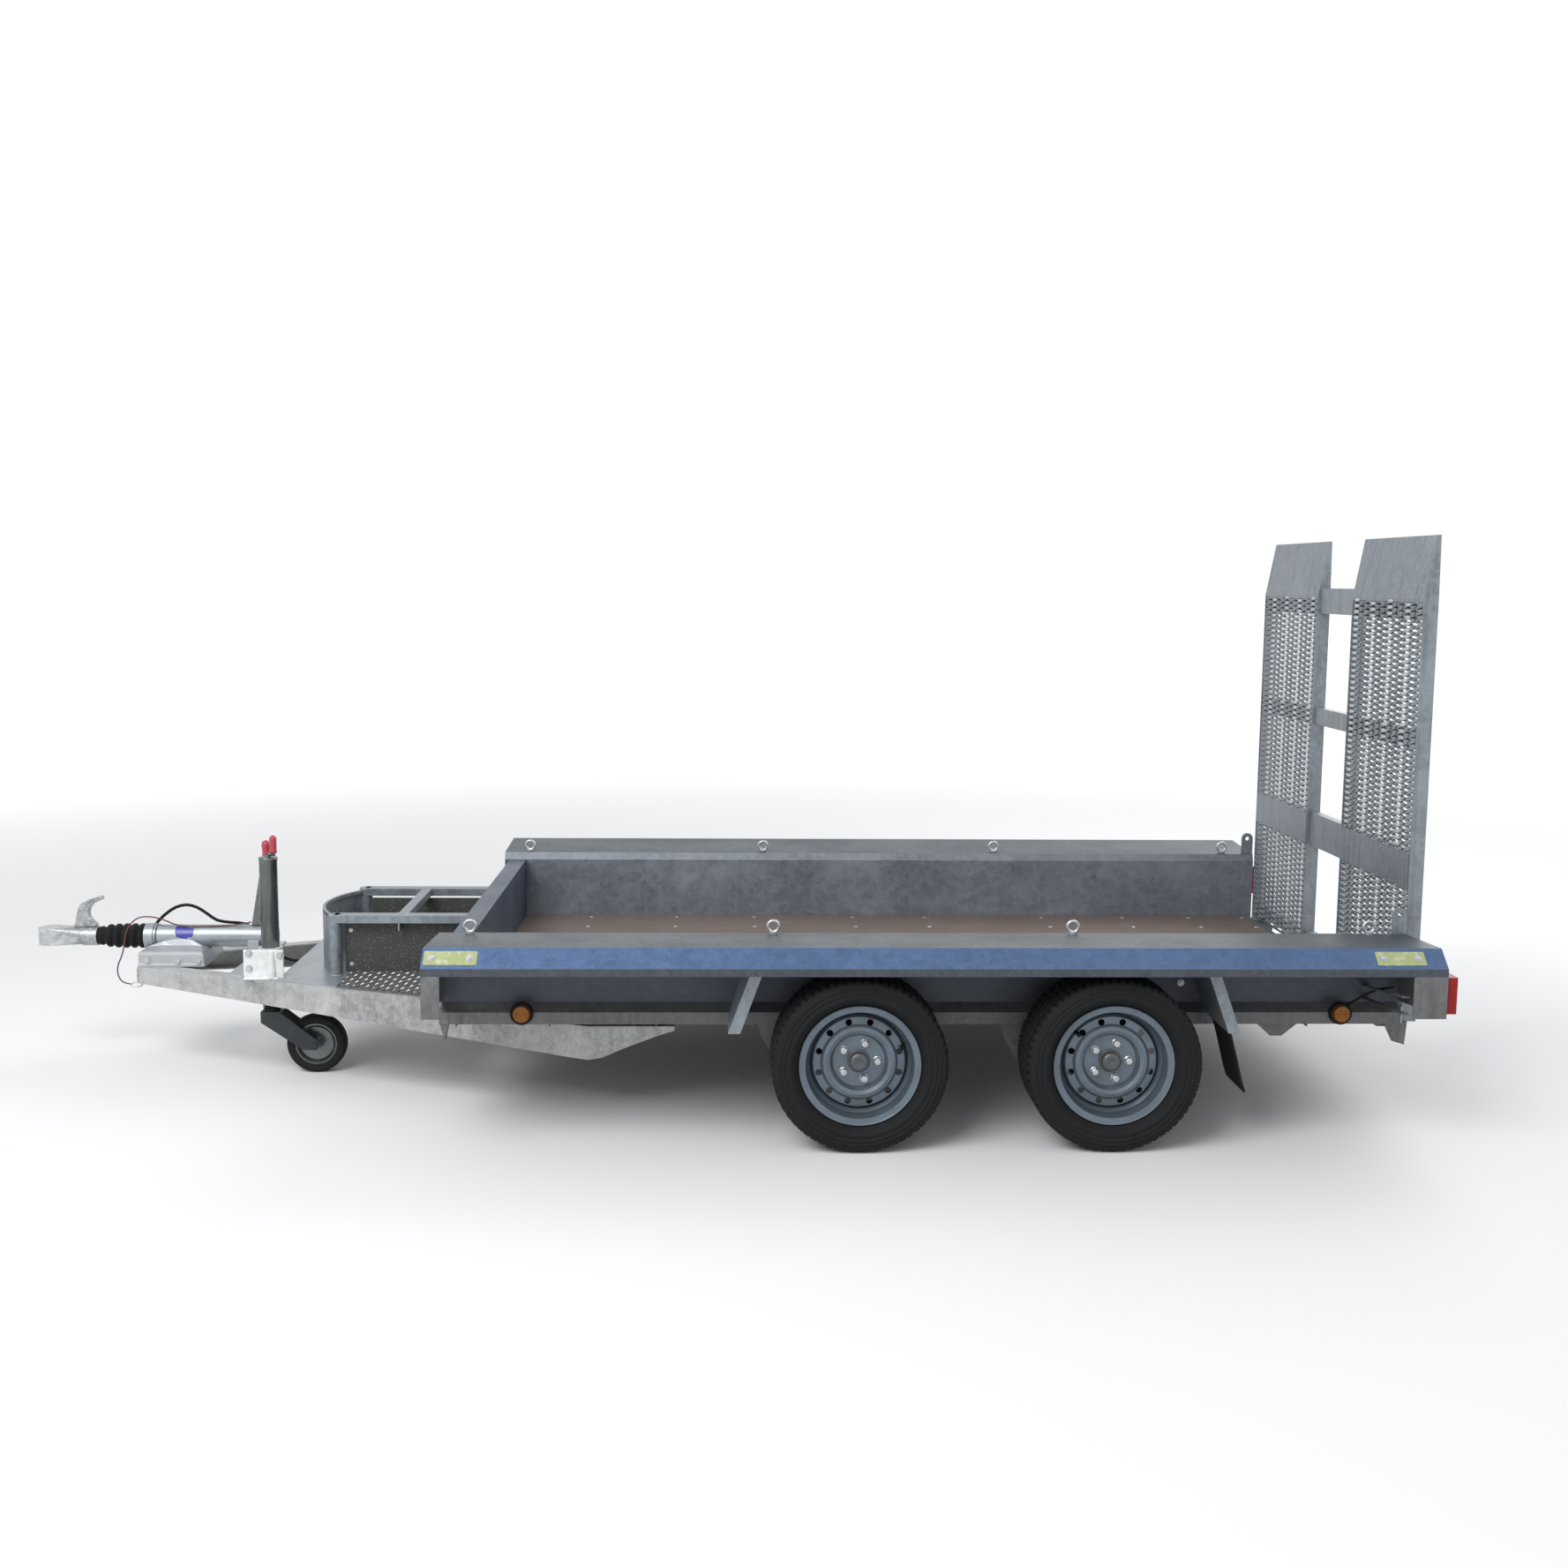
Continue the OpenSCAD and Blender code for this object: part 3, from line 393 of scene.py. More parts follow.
def ply_finish(name, tint, dust_colour):
    """Film-faced plywood: a pressed wire pattern, scuffs along the bed and dried splashes."""
    made, t = new_material(name)
    wire = t.add("ShaderNodeTexVoronoi", {"Vector": t.place((1.0, 1.4, 1.0)), "Scale": 210.0}, "Distance")
    scuff = t.span(t.noise(t.place((1.2, 16.0, 1.0)), 7.0, 5.0, 0.7), 0.52, 0.70)
    cloud = t.noise(t.place(), 2.2, 5.0, 0.6)
    splash = t.span(t.spots(t.place(), 16.0, "Distance"), 0.10, 0.04)
    base = t.mix(cloud, full([c * 0.75 for c in tint]), full([c * 1.35 for c in tint]))
    base = t.mix(t.calc("MULTIPLY", scuff, 0.35), base, full([min(1, c * 2.1) for c in tint]))
    base = t.mix(t.calc("MULTIPLY", splash, 0.45), base, full((0.42, 0.41, 0.39)))
    mask = t.group("Road dust", {"Bottom": 0.0, "Top": 0.1, "Amount": 0.6})
    base = t.mix(mask, base, full([c * 1.3 for c in dust_colour]))
    return shader(made, base, t.span(scuff, 0.0, 1.0, 0.42, 0.62), wire, 0.25, 0.0004)


def board_finish(name, tint):
    """Dark board with pale specks."""
    made, t = new_material(name)
    where = t.place()
    fleck = t.span(t.spots(where, 170.0, "Distance"), 0.33, 0.20)
    pick = t.span(t.red(t.spots(where, 170.0)), 0.45, 0.60)
    specks = t.calc("MULTIPLY", fleck, pick)
    grain = t.noise(where, 500.0, 2.0)
    base = t.mix(grain, full([c * 0.6 for c in tint]), full([c * 1.5 for c in tint]))
    base = t.mix(t.calc("MULTIPLY", specks, 0.8), base, full((0.26, 0.26, 0.24)))
    return shader(made, base, t.span(grain, 0.0, 1.0, 0.5, 0.7), grain, 0.4, 0.0006)


def moulded_finish(name, tint, rough=0.34, coat=0.0):
    made, t = new_material(name)
    grain = t.group("Fine grain", {"Scale": 900.0}, "Height")
    waves = t.group("Fine grain", {"Scale": 500.0}, "Waves")
    base = t.mix(waves, full([c * 0.8 for c in tint]), full([min(1, c * 1.25 + 0.004) for c in tint]))
    mask = t.group("Road dust", {"Bottom": 0.2, "Top": 0.9, "Amount": 0.25})
    base = t.mix(mask, base, full((0.20, 0.18, 0.16)))
    return shader(made, base, t.span(waves, 0.0, 1.0, rough - 0.06, rough + 0.12), grain, 0.15, 0.0003,
                  Coat_Weight=coat)


def lens_finish(name, tint):
    """Moulded lens: prisms behind a glossy face."""
    made, t = new_material(name)
    prisms = t.spots(t.place(), 330.0, "Distance")
    base = t.mix(prisms, full([min(1, c * 1.5) for c in tint]), full([c * 0.55 for c in tint]))
    return shader(made, base, 0.30, prisms, 0.25, 0.0006, Coat_Weight=0.08, Specular_IOR_Level=0.25)


def reflector_finish(name, tint):
    """Reflective sheet: small bright cells under a clear face."""
    made, t = new_material(name)
    where = t.place()
    cells = t.spots(where, 380.0, "Distance")
    patches = t.noise(where, 40.0, 3.0)
    base = t.mix(cells, full([min(1, c * 1.15) for c in tint]), full([c * 0.8 for c in tint]))
    base = t.mix(t.span(patches, 0.5, 0.75), base, full((0.62, 0.66, 0.50)))
    return shader(made, base, t.span(patches, 0.0, 1.0, 0.25, 0.45), cells, 0.1, 0.0003, Coat_Weight=0.3)


SLOTS = {}

# Nodes whose finish differs from the plain one of their slot; the front wall's is a darker copy of the sheet, as
# painted shade
OWN_FINISH = {
    "ramp_frame": "galvanised_ramp", "ramp_treads": "galvanised_ramp", "ramp_locks": "galvanised_ramp",
    "bucket_rest": "galvanised_ramp", "arch_braces": "galvanised_ramp", "coupling_head": "dull_casting",
    "overrun_housing": "dull_tube", "front_wall": "front_wall_painted_shade", "jockey_rim": "stem", "jockey_fork": "fork", "side_markers": "black_rubber",
}


def finish(slot):
    return SLOTS[slot]


def dress(obj, slot):
    """Gives a piece the finish of a material slot of the record."""
    obj.data.materials.clear()
    obj.data.materials.append(finish(slot))


# ---- Meshes


class Shell:
    """Collects vertices and faces of one piece."""

    def __init__(self):
        self.points, self.faces = [], []

    def add(self, points, faces, matrix=None):
        first = len(self.points)
        self.points += [matrix @ Vector(p) for p in points] if matrix else [Vector(p) for p in points]
        self.faces += [tuple(first + i for i in f) for f in faces]

    def turned(self, profile, columns, matrix=None, closed=False):
        """Turns profile, (radius, height) pairs, about Z. columns are angles or how many."""
        if isinstance(columns, int):
            columns = [2 * math.pi * i / columns for i in range(columns)]
        n, m = len(columns), len(profile)
        points = [(r * math.cos(a), r * math.sin(a), h) for a in columns for r, h in profile]
        faces = []
        for i in range(n):
            for j in range(m if closed else m - 1):
                k = (j + 1) % m
                faces.append((i * m + j, (i + 1) % n * m + j, (i + 1) % n * m + k, i * m + k))
        self.add(points, faces, matrix)

    def loft(self, rings, matrix=None, caps=True):
        """Joins rings of the same number of points."""
        m = len(rings[0])
        points = [p for ring in rings for p in ring]
        faces = [(i * m + j, i * m + (j + 1) % m, (i + 1) * m + (j + 1) % m, (i + 1) * m + j)
                 for i in range(len(rings) - 1) for j in range(m)]
        if caps:
            faces += [tuple(reversed(range(m))), tuple(range((len(rings) - 1) * m, len(rings) * m))]
        self.add(points, faces, matrix)

    def box(self, a, b):
        """A block between two corners in bed millimetres."""
        corners = ((a[0], a[1]), (b[0], a[1]), (b[0], b[1]), (a[0], b[1]))
        self.loft([[bed(x, y, z) for x, y in corners] for z in (a[2], b[2])])

    def side_prism(self, outline, y0, y1):
        """Carries an outline of (x, z) points across the bed, in bed millimetres."""
        self.loft([[bed(x, y, z) for x, z in outline] for y in (y0, y1)])

    def plan_prism(self, outline, z0, z1):
        """Raises an outline of (x, y) points, in bed millimetres."""
        self.loft([[bed(x, y, z) for x, y in outline] for z in (z0, z1)])

    def piece(self, name, body, slot, smooth=True, bevel=0.0):
        """Makes the piece, dresses it and lets it ride on a body."""
        mesh = bpy.data.meshes.new(name)
        mesh.from_pydata([tuple(p) for p in self.points], [], self.faces)
        flip = bmesh.new()
        flip.from_mesh(mesh)
        bmesh.ops.recalc_face_normals(flip, faces=flip.faces)
        flip.to_mesh(mesh)
        flip.free()
        obj = bpy.data.objects.new(name, mesh)
        bpy.context.scene.collection.objects.link(obj)
        if smooth:
            mesh.polygons.foreach_set("use_smooth", [True] * len(mesh.polygons))
        if bevel:
            edge = obj.modifiers.new("edges", "BEVEL")
            edge.width, edge.segments, edge.limit_method = bevel, 2, "ANGLE"
        if slot in SLOTS:
            dress(obj, slot)
        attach(obj, body)
        return obj


def facing(point, normal, spin=0.0):
    """Matrix that puts a shape's Z along normal at point."""
    turn = Vector(normal).normalized().to_track_quat("Z", "Y").to_matrix().to_4x4()
    return Matrix.Translation(point) @ turn @ Matrix.Rotation(spin, 4, "Z")


def bolt_head(shell, point, normal, radius, height, spin=0.0, washer=True):
    """Hexagon head with a chamfered top on a washer."""
    place = facing(point, normal, spin)
    if washer:
        shell.turned([(radius * 0.5, 0.0), (radius * 1.45, 0.0), (radius * 1.45, 0.0016), (radius * 0.5, 0.0016)],
                     20, place)
    low = 0.0014 if washer else 0.0
    rings = []
    for r, h in ((radius, low), (radius, low + height * 0.8), (radius * 0.84, low + height), (radius * 0.3, low + height)):
        rings.append([(r * math.cos(math.pi * i / 3), r * math.sin(math.pi * i / 3), h) for i in range(6)])
    shell.loft(rings, place)


def weld_bead(shell, start, end, radius, lift):
    """Rippled bead from start to end; lift points away from the corner it fills."""
    start, end, lift = Vector(start), Vector(end), Vector(lift).normalized()
    along = (end - start).normalized()
    side = along.cross(lift)
    steps = max(6, int((end - start).length / 0.003))
    rings = []
    for i in range(steps + 1):
        swell = 1.0 + 0.16 * math.sin(i * 2.4) + 0.06 * math.sin(i * 0.9)
        if i in (0, steps):
            swell *= 0.35
        centre = start.lerp(end, i / steps)
        rings.append([centre + radius * swell * (math.cos(a) * side + 0.8 * math.sin(a) * lift)
                      for a in [math.pi * 2 * k / 8 for k in range(8)]])
    shell.loft(rings)


# ---- Operators


class TRAILER_OT_stage(bpy.types.Operator):
    """Puts up the camera, the floor and the lamps"""

    bl_idname = "trailer.stage"
    bl_label = "Stage"

    def execute(self, context):
        stage = context.scene.trailer_stage
        scene = context.scene
        scene.view_settings.view_transform = "Standard"
        yaw, pitch, roll = 0.03416, 0.12216, 0.00842
        ahead = Vector((math.sin(yaw) * math.cos(pitch), math.cos(yaw) * math.cos(pitch), -math.sin(pitch)))
        right = Vector((math.cos(yaw), -math.sin(yaw), 0.0))
        up = right.cross(ahead)
        right, up = (right * math.cos(roll) + up * math.sin(roll), up * math.cos(roll) - right * math.sin(roll))
        lens = bpy.data.cameras.new("camera")
        lens.sensor_width, lens.lens = 36.0, 1886.5 * 36.0 / 1777.0
        lens.clip_end = 200.0
        camera = bpy.data.objects.new("camera", lens)
        camera.matrix_world = Matrix.Translation((0.1175, -5.7975, 1.6849)) @ Matrix(
            (right, up, -ahead)).transposed().to_4x4()
        scene.collection.objects.link(camera)
        scene.camera = camera

        # The floor turns to plain white light far from the trailer, so that no horizon shows.
        made, t = new_material("Pale floor")
        cloud = t.noise(t.place(), 0.8, 3.0)
        tint = stage.floor
        base = t.mix(cloud, full([c * 0.985 for c in tint]), full([min(1, c * 1.015) for c in tint]))
        away = t.add("ShaderNodeVectorMath", {0: t.place()}, "Value", operation="LENGTH")
        fade = t.span(away, 3.6, 9.0)
        shader(made, t.mix(fade, base, (0.0, 0.0, 0.0, 1.0)), 0.9)
        surface = next(n for n in made.node_tree.nodes if n.type == "BSDF_PRINCIPLED")
        surface.inputs["Emission Color"].default_value = (1.0, 1.0, 1.0, 1.0)
        made.node_tree.links.new(fade, surface.inputs["Emission Strength"])
        mesh = bpy.data.meshes.new("floor")
        mesh.from_pydata([(-90, -90, 0), (90, -90, 0), (90, 90, 0), (-90, 90, 0)], [], [(0, 1, 2, 3)])
        mesh.materials.append(made)
        floor = bpy.data.objects.new("floor", mesh)
        scene.collection.objects.link(floor)

        world = bpy.data.worlds.new("Soft sky")
        scene.world = world
        world.use_nodes = True
        world.node_tree.nodes.clear()
        t = Tree(world.node_tree)
        rays = t.add("ShaderNodeLightPath", out="Is Camera Ray").node
        seen = t.calc("MAXIMUM", rays.outputs["Is Camera Ray"], rays.outputs["Is Glossy Ray"])
        seen = t.calc("MAXIMUM", seen, rays.outputs["Is Transmission Ray"])
        light = t.add("ShaderNodeBackground", {"Color": (0.93, 0.965, 1.0, 1.0), "Strength": stage.sky})
        white = t.add("ShaderNodeBackground", {"Color": (1.0, 1.0, 1.0, 1.0), "Strength": 1.0})
        both = t.add("ShaderNodeMixShader", {0: seen, 1: light, 2: white})
        world.node_tree.links.new(both, world.node_tree.nodes.new("ShaderNodeOutputWorld").inputs["Surface"])

        for name, power, size, place, aim in (
                ("key lamp", stage.key, 4.5, (-3.2, -5.2, 6.0), (0.2, 0.0, 0.4)),
                ("fill lamp", stage.fill, 4.0, (4.5, 3.5, 4.5), (0.2, 0.0, 0.4))):
            lamp = bpy.data.lights.new(name, "AREA")
            lamp.energy, lamp.size = power, size
            obj = bpy.data.objects.new(name, lamp)
            obj.matrix_world = facing(Vector(place), Vector(place) - Vector(aim))
            scene.collection.objects.link(obj)
        return {"FINISHED"}


class TRAILER_OT_finishes(bpy.types.Operator):
    """Makes the finishes and gives each solid of the trailer its own"""

    bl_idname = "trailer.finishes"
    bl_label = "Finishes"

    def execute(self, context):
        c = context.scene.trailer_colours
        make_effects()
        SLOTS.update({
            "galvanised_blue": zinc_finish("Galvanised sheet", c.sheet_dark, c.sheet_light, 42.0, 0.5, 0.38,
                                           0.30, 0.12, 0.30),
            "galvanised_light": zinc_finish("Galvanised drawbar", c.bar_dark, c.bar_light, 52.0, 0.35, 0.44,
                                            0.45, 0.25, 0.30),
            "galvanised_dark": zinc_finish("Galvanised chassis", c.under_dark, c.under_light, 60.0, 0.4, 0.50,
                                           0.20, 0.45, 0.45),
            "galvanised_ramp": zinc_finish("Galvanised ramp", c.ramp_dark, c.ramp_light, 55.0, 0.45, 0.42,
                                           0.30, 0.45, 0.30),
            "bright_zinc": plated_finish("Zinc plate", c.zinc),
            "black_rubber": rubber_finish("Black rubber", c.rubber, c.dust, 0.12, 600.0),
            "tyre": rubber_finish("Tyre rubber", c.rubber, c.dust, 0.20, 900.0),
            "silver_wheel": painted_finish("Wheel paint", c.wheel, c.dust, 0.28),
            "grey_hub": cast_finish("Cast hub", c.hub),
            "phenolic_ply": ply_finish("Deck plywood", c.ply, c.dust),
            "speckled_board": board_finish("Speckled lining", c.board),
            "amber_plastic": lens_finish("Amber lens", c.amber),
            "lamp_plastic": lens_finish("Red lens", c.lens),
            "red_plastic": moulded_finish("Red grip", c.red, 0.34, 0.15),
            "reflector": reflector_finish("Reflector", c.reflector),
            "breakaway_red": moulded_finish("Cable cover", c.cord, 0.40),
            # Copies of the sheet finish: painted sky reflection on the bevel, painted shade on the front wall, the
            # ledges and the skirts
            "bevel_sky_reflection": zinc_finish("Painted sky reflection bevel", c.bevel_sky_dark, c.bevel_sky_light, 42.0, 0.5, 0.36,
                                            0.10, 0.05, 0.10),
            "front_wall_painted_shade": zinc_finish("Painted shade front wall", c.front_shade_dark, c.front_shade_light, 45.0, 0.5, 0.36,
                                            0.15, 0.10, 0.15),
            "ledge_painted_shade": zinc_finish("Painted shade ledge", c.ledge_shade_dark, c.ledge_shade_light, 60.0, 0.45, 0.40,
                                            0.12, 0.05, 0.25),
            "skirt_painted_shade": zinc_finish("Painted shade skirt", c.skirt_shade_dark, c.skirt_shade_light, 50.0, 0.40, 0.44,
                                            0.10, 0.10, 0.20),
            "dull_casting": zinc_finish("Dull casting", [v * 0.5 for v in c.head], [min(1.0, v * 2.3) for v in c.head],
                                        48.0, 0.5, 0.36, 0.35, 0.10, 0.10),
            "dull_tube": plated_finish("Dull tube", c.tube, 0.34, 0.6),
            "fork": plated_finish("Fork zinc", c.fork, 0.36, 0.6),
            "pale_plate": plated_finish("Pale plate", c.bracket, 0.40, 0.25),
            "dark_lever": zinc_finish("Lever zinc", c.under_dark, c.under_light, 70.0, 0.4, 0.45, 0.2, 0.2, 0.1),
            "mesh_metal": zinc_finish("Mesh metal", c.under_dark, c.bar_dark, 90.0, 0.35, 0.5, 0.2, 0.1, 0.4),
            "dark_cap": plated_finish("Dark cap", c.cap_dark, 0.36, 0.6),
            "casting": cast_finish("Zinc casting", c.casting, 0.30, 0.10),
            "stem": plated_finish("Dark zinc", c.stem, 0.22, 0.85),
            "blue_mark": moulded_finish("Blue mark", c.cap, 0.28, 0.3),
        })
        for part in frame["record"]["subparts"]:
            name = part["node"]
            obj = NODES[name]
            obj.data.materials.clear()
            obj.data.materials.append(finish(OWN_FINISH.get(name, part["material_slot"])))
            # The sides take copies of their sheet by the way each face looks: sloped faces a blue painted sky
            # reflection, up faces and outward upright faces painted shade
            if name in ("side_left", "side_right"):
                for extra in ("bevel_sky_reflection", "ledge_painted_shade", "skirt_painted_shade"):
                    obj.data.materials.append(finish(extra))
                out = -1.0 if name == "side_left" else 1.0
                for face in obj.data.polygons:
                    if 0.3 < abs(face.normal.y) < 0.95 and face.normal.z > 0.4:
                        face.material_index = 1
                    elif face.normal.z > 0.95:
                        face.material_index = 2
                    elif face.normal.y * out > 0.9 and face.area > 0.01:
                        face.material_index = 3
        return {"FINISHED"}


class TRAILER_OT_road_tyres(bpy.types.Operator):
    """Puts treaded tyres in place of the plain ones"""

    bl_idname = "trailer.road_tyres"
    bl_label = "Road tyres"

    def execute(self, context):
        p = context.scene.trailer_tyres
        bead, half, edge, r = 0.1651, 0.070, 0.0975, 0.2625
        side = [(bead, -half + 0.014), (bead, -half + 0.005), (bead + 0.0165, -half + 0.002),
                (bead + 0.0205, -half - 0.002), (bead + 0.026, -half - 0.010), (bead + 0.034, -half - 0.0205),
                (bead + 0.0405, -edge + 0.0025), (bead + 0.046, -edge + 0.0006), (bead + 0.0465, -edge + 0.0012),
                (bead + 0.0575, -edge + 0.0012), (bead + 0.058, -edge + 0.0002), (bead + 0.0605, -edge + 0.0002),
                (bead + 0.061, -edge + 0.0014), (bead + 0.0700, -edge + 0.0018), (bead + 0.0705, -edge + 0.0008),
                (bead + 0.0725, -edge + 0.0008), (bead + 0.073, -edge + 0.0022)]
        side += [(r - 0.022 + 0.022 * math.cos(math.radians(a)), -edge + 0.024 + 0.022 * math.sin(math.radians(a)))
                 for a in (-76, -66, -56, -46, -36, -26, -16, -8)]
        crown = [(r, -0.0735)]
        for middle in (-0.0500, -0.0170, 0.0170, 0.0500):
            w = p.groove / 2
            crown += [(r, middle - w - 0.0012), (r - p.depth, middle - w), (r - p.depth, middle + w),
                      (r, middle + w + 0.0012)]
        crown.append((r, 0.0735))
        profile = side + crown + [(a, -b) for a, b in reversed(side)]
        pitch = 2 * math.pi / p.blocks
        columns = [pitch * (i + part) for i in range(p.blocks) for part in (0.0, 0.72, 0.78, 0.94)]
        for key, body in WHEELS.items():
            shell = Shell()
            shell.turned(profile, columns, closed=True)
            m = len(profile)
            for i, angle in enumerate(columns):
                if i % 4 < 2:
                    continue
                for j in range(m):
                    point = shell.points[i * m + j]
                    across, out = point.z, math.hypot(point.x, point.y)
                    if out > 0.2555 and abs(across) > 0.0535:
                        cut = p.depth * 0.75 * min(1.0, (0.094 - abs(across)) / 0.010)
                    elif out > 0.2600 and abs(across) < 0.0465 and not 0.0125 < abs(across) < 0.0215:
                        cut = 0.0016
                    else:
                        continue
                    point.x *= (out - cut) / out
                    point.y *= (out - cut) / out
            sign = -1.0 if key[1] == "l" else 1.0
            matrix = Matrix.Translation((AXLES[key[0]], sign * 0.9625, 0.2625)) @ Matrix.Rotation(
                math.radians(-90.0 * sign), 4, "X")
            shell.points = [matrix @ point for point in shell.points]
            obj = shell.piece("road_tyre_" + key, body, "tyre")
            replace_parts(obj, "tyre_" + key)
        return {"FINISHED"}


class TRAILER_OT_wheel_fittings(bpy.types.Operator):
    """Adds dust caps and valves to the road wheels"""

    bl_idname = "trailer.wheel_fittings"
    bl_label = "Wheel fittings"

    def execute(self, context):
        for key, body in WHEELS.items():
            sign = -1.0 if key[1] == "l" else 1.0
            hub = Matrix.Translation((AXLES[key[0]], sign * 0.9755, 0.2625)) @ Matrix.Rotation(
                math.radians(-90.0 * sign), 4, "X")
            cap = Shell()
            cap.turned([(0.0285, 0.010), (0.0290, 0.012), (0.0290, 0.024), (0.0270, 0.0295), (0.0200, 0.0315),
                        (0.0120, 0.0322), (0.0110, 0.0312), (0.0020, 0.0318), (0.0, 0.0318)], 48, hub)
            cap.turned([(0.0310, 0.0085), (0.0345, 0.0085), (0.0350, 0.0060), (0.0345, 0.0045), (0.0310, 0.0045)],
                       48, hub)
            cap.piece("dust_cap_" + key, body, "dark_cap")
            bolts = Shell()
            for i in range(5):
                turn = Matrix.Rotation(2 * math.pi * i / 5, 4, "Z") @ Matrix.Translation((0.056, 0.0, 0.0050))
                bolts.turned([(0.0, 0.0), (0.0150, 0.0), (0.0150, 0.0015), (0.0118, 0.0045), (0.0118, 0.0050)], 24,
                             hub @ turn)
                bolts.loft([[hub @ turn @ Vector((r * math.cos(math.pi * k / 3), r * math.sin(math.pi * k / 3), h))
                             for k in range(6)] for r, h in ((0.0118, 0.004), (0.0118, 0.0118), (0.0096, 0.0138),
                                                             (0.0030, 0.0146))])
            bolts.piece("wheel_bolts_" + key, body, "bright_zinc", smooth=False)
            stem = Shell()
            place = hub @ Matrix.Rotation(math.radians(20 if key[0] == "f" else 140), 4, "Z") @ \
                Matrix.Translation((0.139, 0.0, 0.004)) @ Matrix.Rotation(math.radians(-14.0), 4, "Y")
            stem.turned([(0.0, -0.012), (0.0072, -0.012), (0.0075, 0.0), (0.0058, 0.004), (0.0052, 0.018),
                         (0.0062, 0.0185), (0.0062, 0.029), (0.0050, 0.0305), (0.0, 0.0305)], 16, place)
            stem.piece("valve_" + key, body, "black_rubber")
        return {"FINISHED"}


class TRAILER_OT_reflectors(bpy.types.Operator):
    """Puts a blank reflective plate with two bolts on each end of both bevels"""

    bl_idname = "trailer.reflectors"
    bl_label = "Reflectors"

    def execute(self, context):
        p = context.scene.trailer_fasteners
        plates, bolts = Shell(), Shell()
        for side in (-1, 1):
            inner, outer = Vector((0, side * 1.032, 0.617)), Vector((0, side * 1.090, 0.567))
            down = (outer - inner).normalized()
            out = Vector((0, side * abs(down.z), abs(down.y)))
            for x0, x1 in ((6, 160), (2790, 2936)):
                centre = (inner + outer) / 2 + Vector(((x0 + x1) / 2000 + BED_FRONT, 0, 0))
                w, h, round_ = (x1 - x0) / 2000, 0.0245, 0.004
                ring = []
                for cx, cy, a0 in ((w, h, 0), (-w, h, 90), (-w, -h, 180), (w, -h, 270)):
                    for a in (0, 30, 60, 90):
                        t = math.radians(a0 + a)
                        ring.append((math.copysign(abs(cx) - round_, cx) + round_ * math.cos(t),
                                     math.copysign(abs(cy) - round_, cy) + round_ * math.sin(t)))
                plates.loft([[centre + Vector((a, 0, 0)) + b * down + lift * out for a, b in ring]
                             for lift in (-0.0002, 0.0013, 0.0016)])
                for k in (-1, 1):
                    at = centre + Vector((k * (w - 0.022), 0, 0)) + 0.0014 * out
                    bolt_head(bolts, at, out, p.hexagon * 0.72, p.height * 0.6, 0.4 * k)
        plates.piece("reflective_plates", "trailer", "reflector", smooth=False)
        bolts.piece("reflector_bolts", "trailer", "bright_zinc", smooth=False)
        return {"FINISHED"}


def on_both(sides):
    return (-1, 1) if sides == "both" else (-1,)


# Bolts and rivets. Columns: bed x, distance out from the middle, height, the way the head
# faces, half width of the head, on both sides or only on the left one.
BOLTS = (
    (-1114, 110.6, 364, "out", 8.5, "both"),
    (-1009, 110.8, 360, "out", 8.5, "both"),
    (-939, 110.8, 360, "out", 8.5, "both"),
    (-716, 290.4, 430, "out", 8.5, "left"),
    (-716, 290.4, 378, "out", 8.5, "left"),
    (-612, 290.4, 422, "out", 8.5, "left"),
    (-390, 223.7, 496, "out", 4.6, "both"),
    (-390, 223.7, 380, "out", 4.6, "both"),
    (-20, 223.7, 496, "out", 4.6, "both"),
    (-20, 223.7, 380, "out", 4.6, "both"),
    (1060, 788.2, 345, "out", 9.0, "both"),
    (1110, 788.2, 345, "out", 9.0, "both"),
    (1390, 788.2, 345, "out", 9.0, "both"),
    (1440, 788.2, 345, "out", 9.0, "both"),
    (1815, 788.2, 345, "out", 9.0, "both"),
    (1865, 788.2, 345, "out", 9.0, "both"),
    (2145, 788.2, 345, "out", 9.0, "both"),
    (2195, 788.2, 345, "out", 9.0, "both"),
    (2299, 753.2, 445, "out", 7.0, "both"),
    (100, 753.2, 500, "out", 6.0, "both"),
    (700, 753.2, 500, "out", 6.0, "both"),
    (2560, 753.2, 500, "out", 6.0, "both"),
    (2935, 753.2, 500, "out", 6.0, "both"),
)
# Deck screws: bed x of each row; every row has screws at the same distances out
SCREW_ROWS = (352, 682, 982, 1382, 1662, 2142, 2462, 2722, 2948)
SCREW_OUT = (60, 300, 520, 700)
FACES = {"out": Vector((0, 1, 0)), "up": Vector((0, 0, 1)), "front": Vector((-1, 0, 0))}


class TRAILER_OT_fasteners(bpy.types.Operator):
    """Puts in the bolts and the deck's screws"""

    bl_idname = "trailer.fasteners"
    bl_label = "Bolts and screws"

    def execute(self, context):
        p = context.scene.trailer_fasteners
        bolts, screws = Shell(), Shell()
        for i, (x, out, z, face, size, sides) in enumerate(BOLTS):
            for side in on_both(sides):
                normal = FACES[face].copy()
                normal.y *= side
                scale = size / 8.5
                bolt_head(bolts, bed(x, side * out, z), normal, p.hexagon * scale * 0.86, p.height * scale,
                          0.37 * i + side)
        for i, x in enumerate(SCREW_ROWS):
            for out in SCREW_OUT:
                for side in (-1, 1):
                    at = bed(x + 3 * ((i * 7 + out) % 5 - 2), side * out, 354.0)
                    screws.turned([(0.0, 0.0024), (0.0035, 0.0022), (0.0075, 0.0012), (0.0095, 0.0), (0.0080, -0.0010)],
                                  14, Matrix.Translation(at))
        bolts.piece("bolts", "trailer", "bright_zinc", smooth=False)
        screws.piece("deck_screws", "trailer", "bright_zinc")
        return {"FINISHED"}


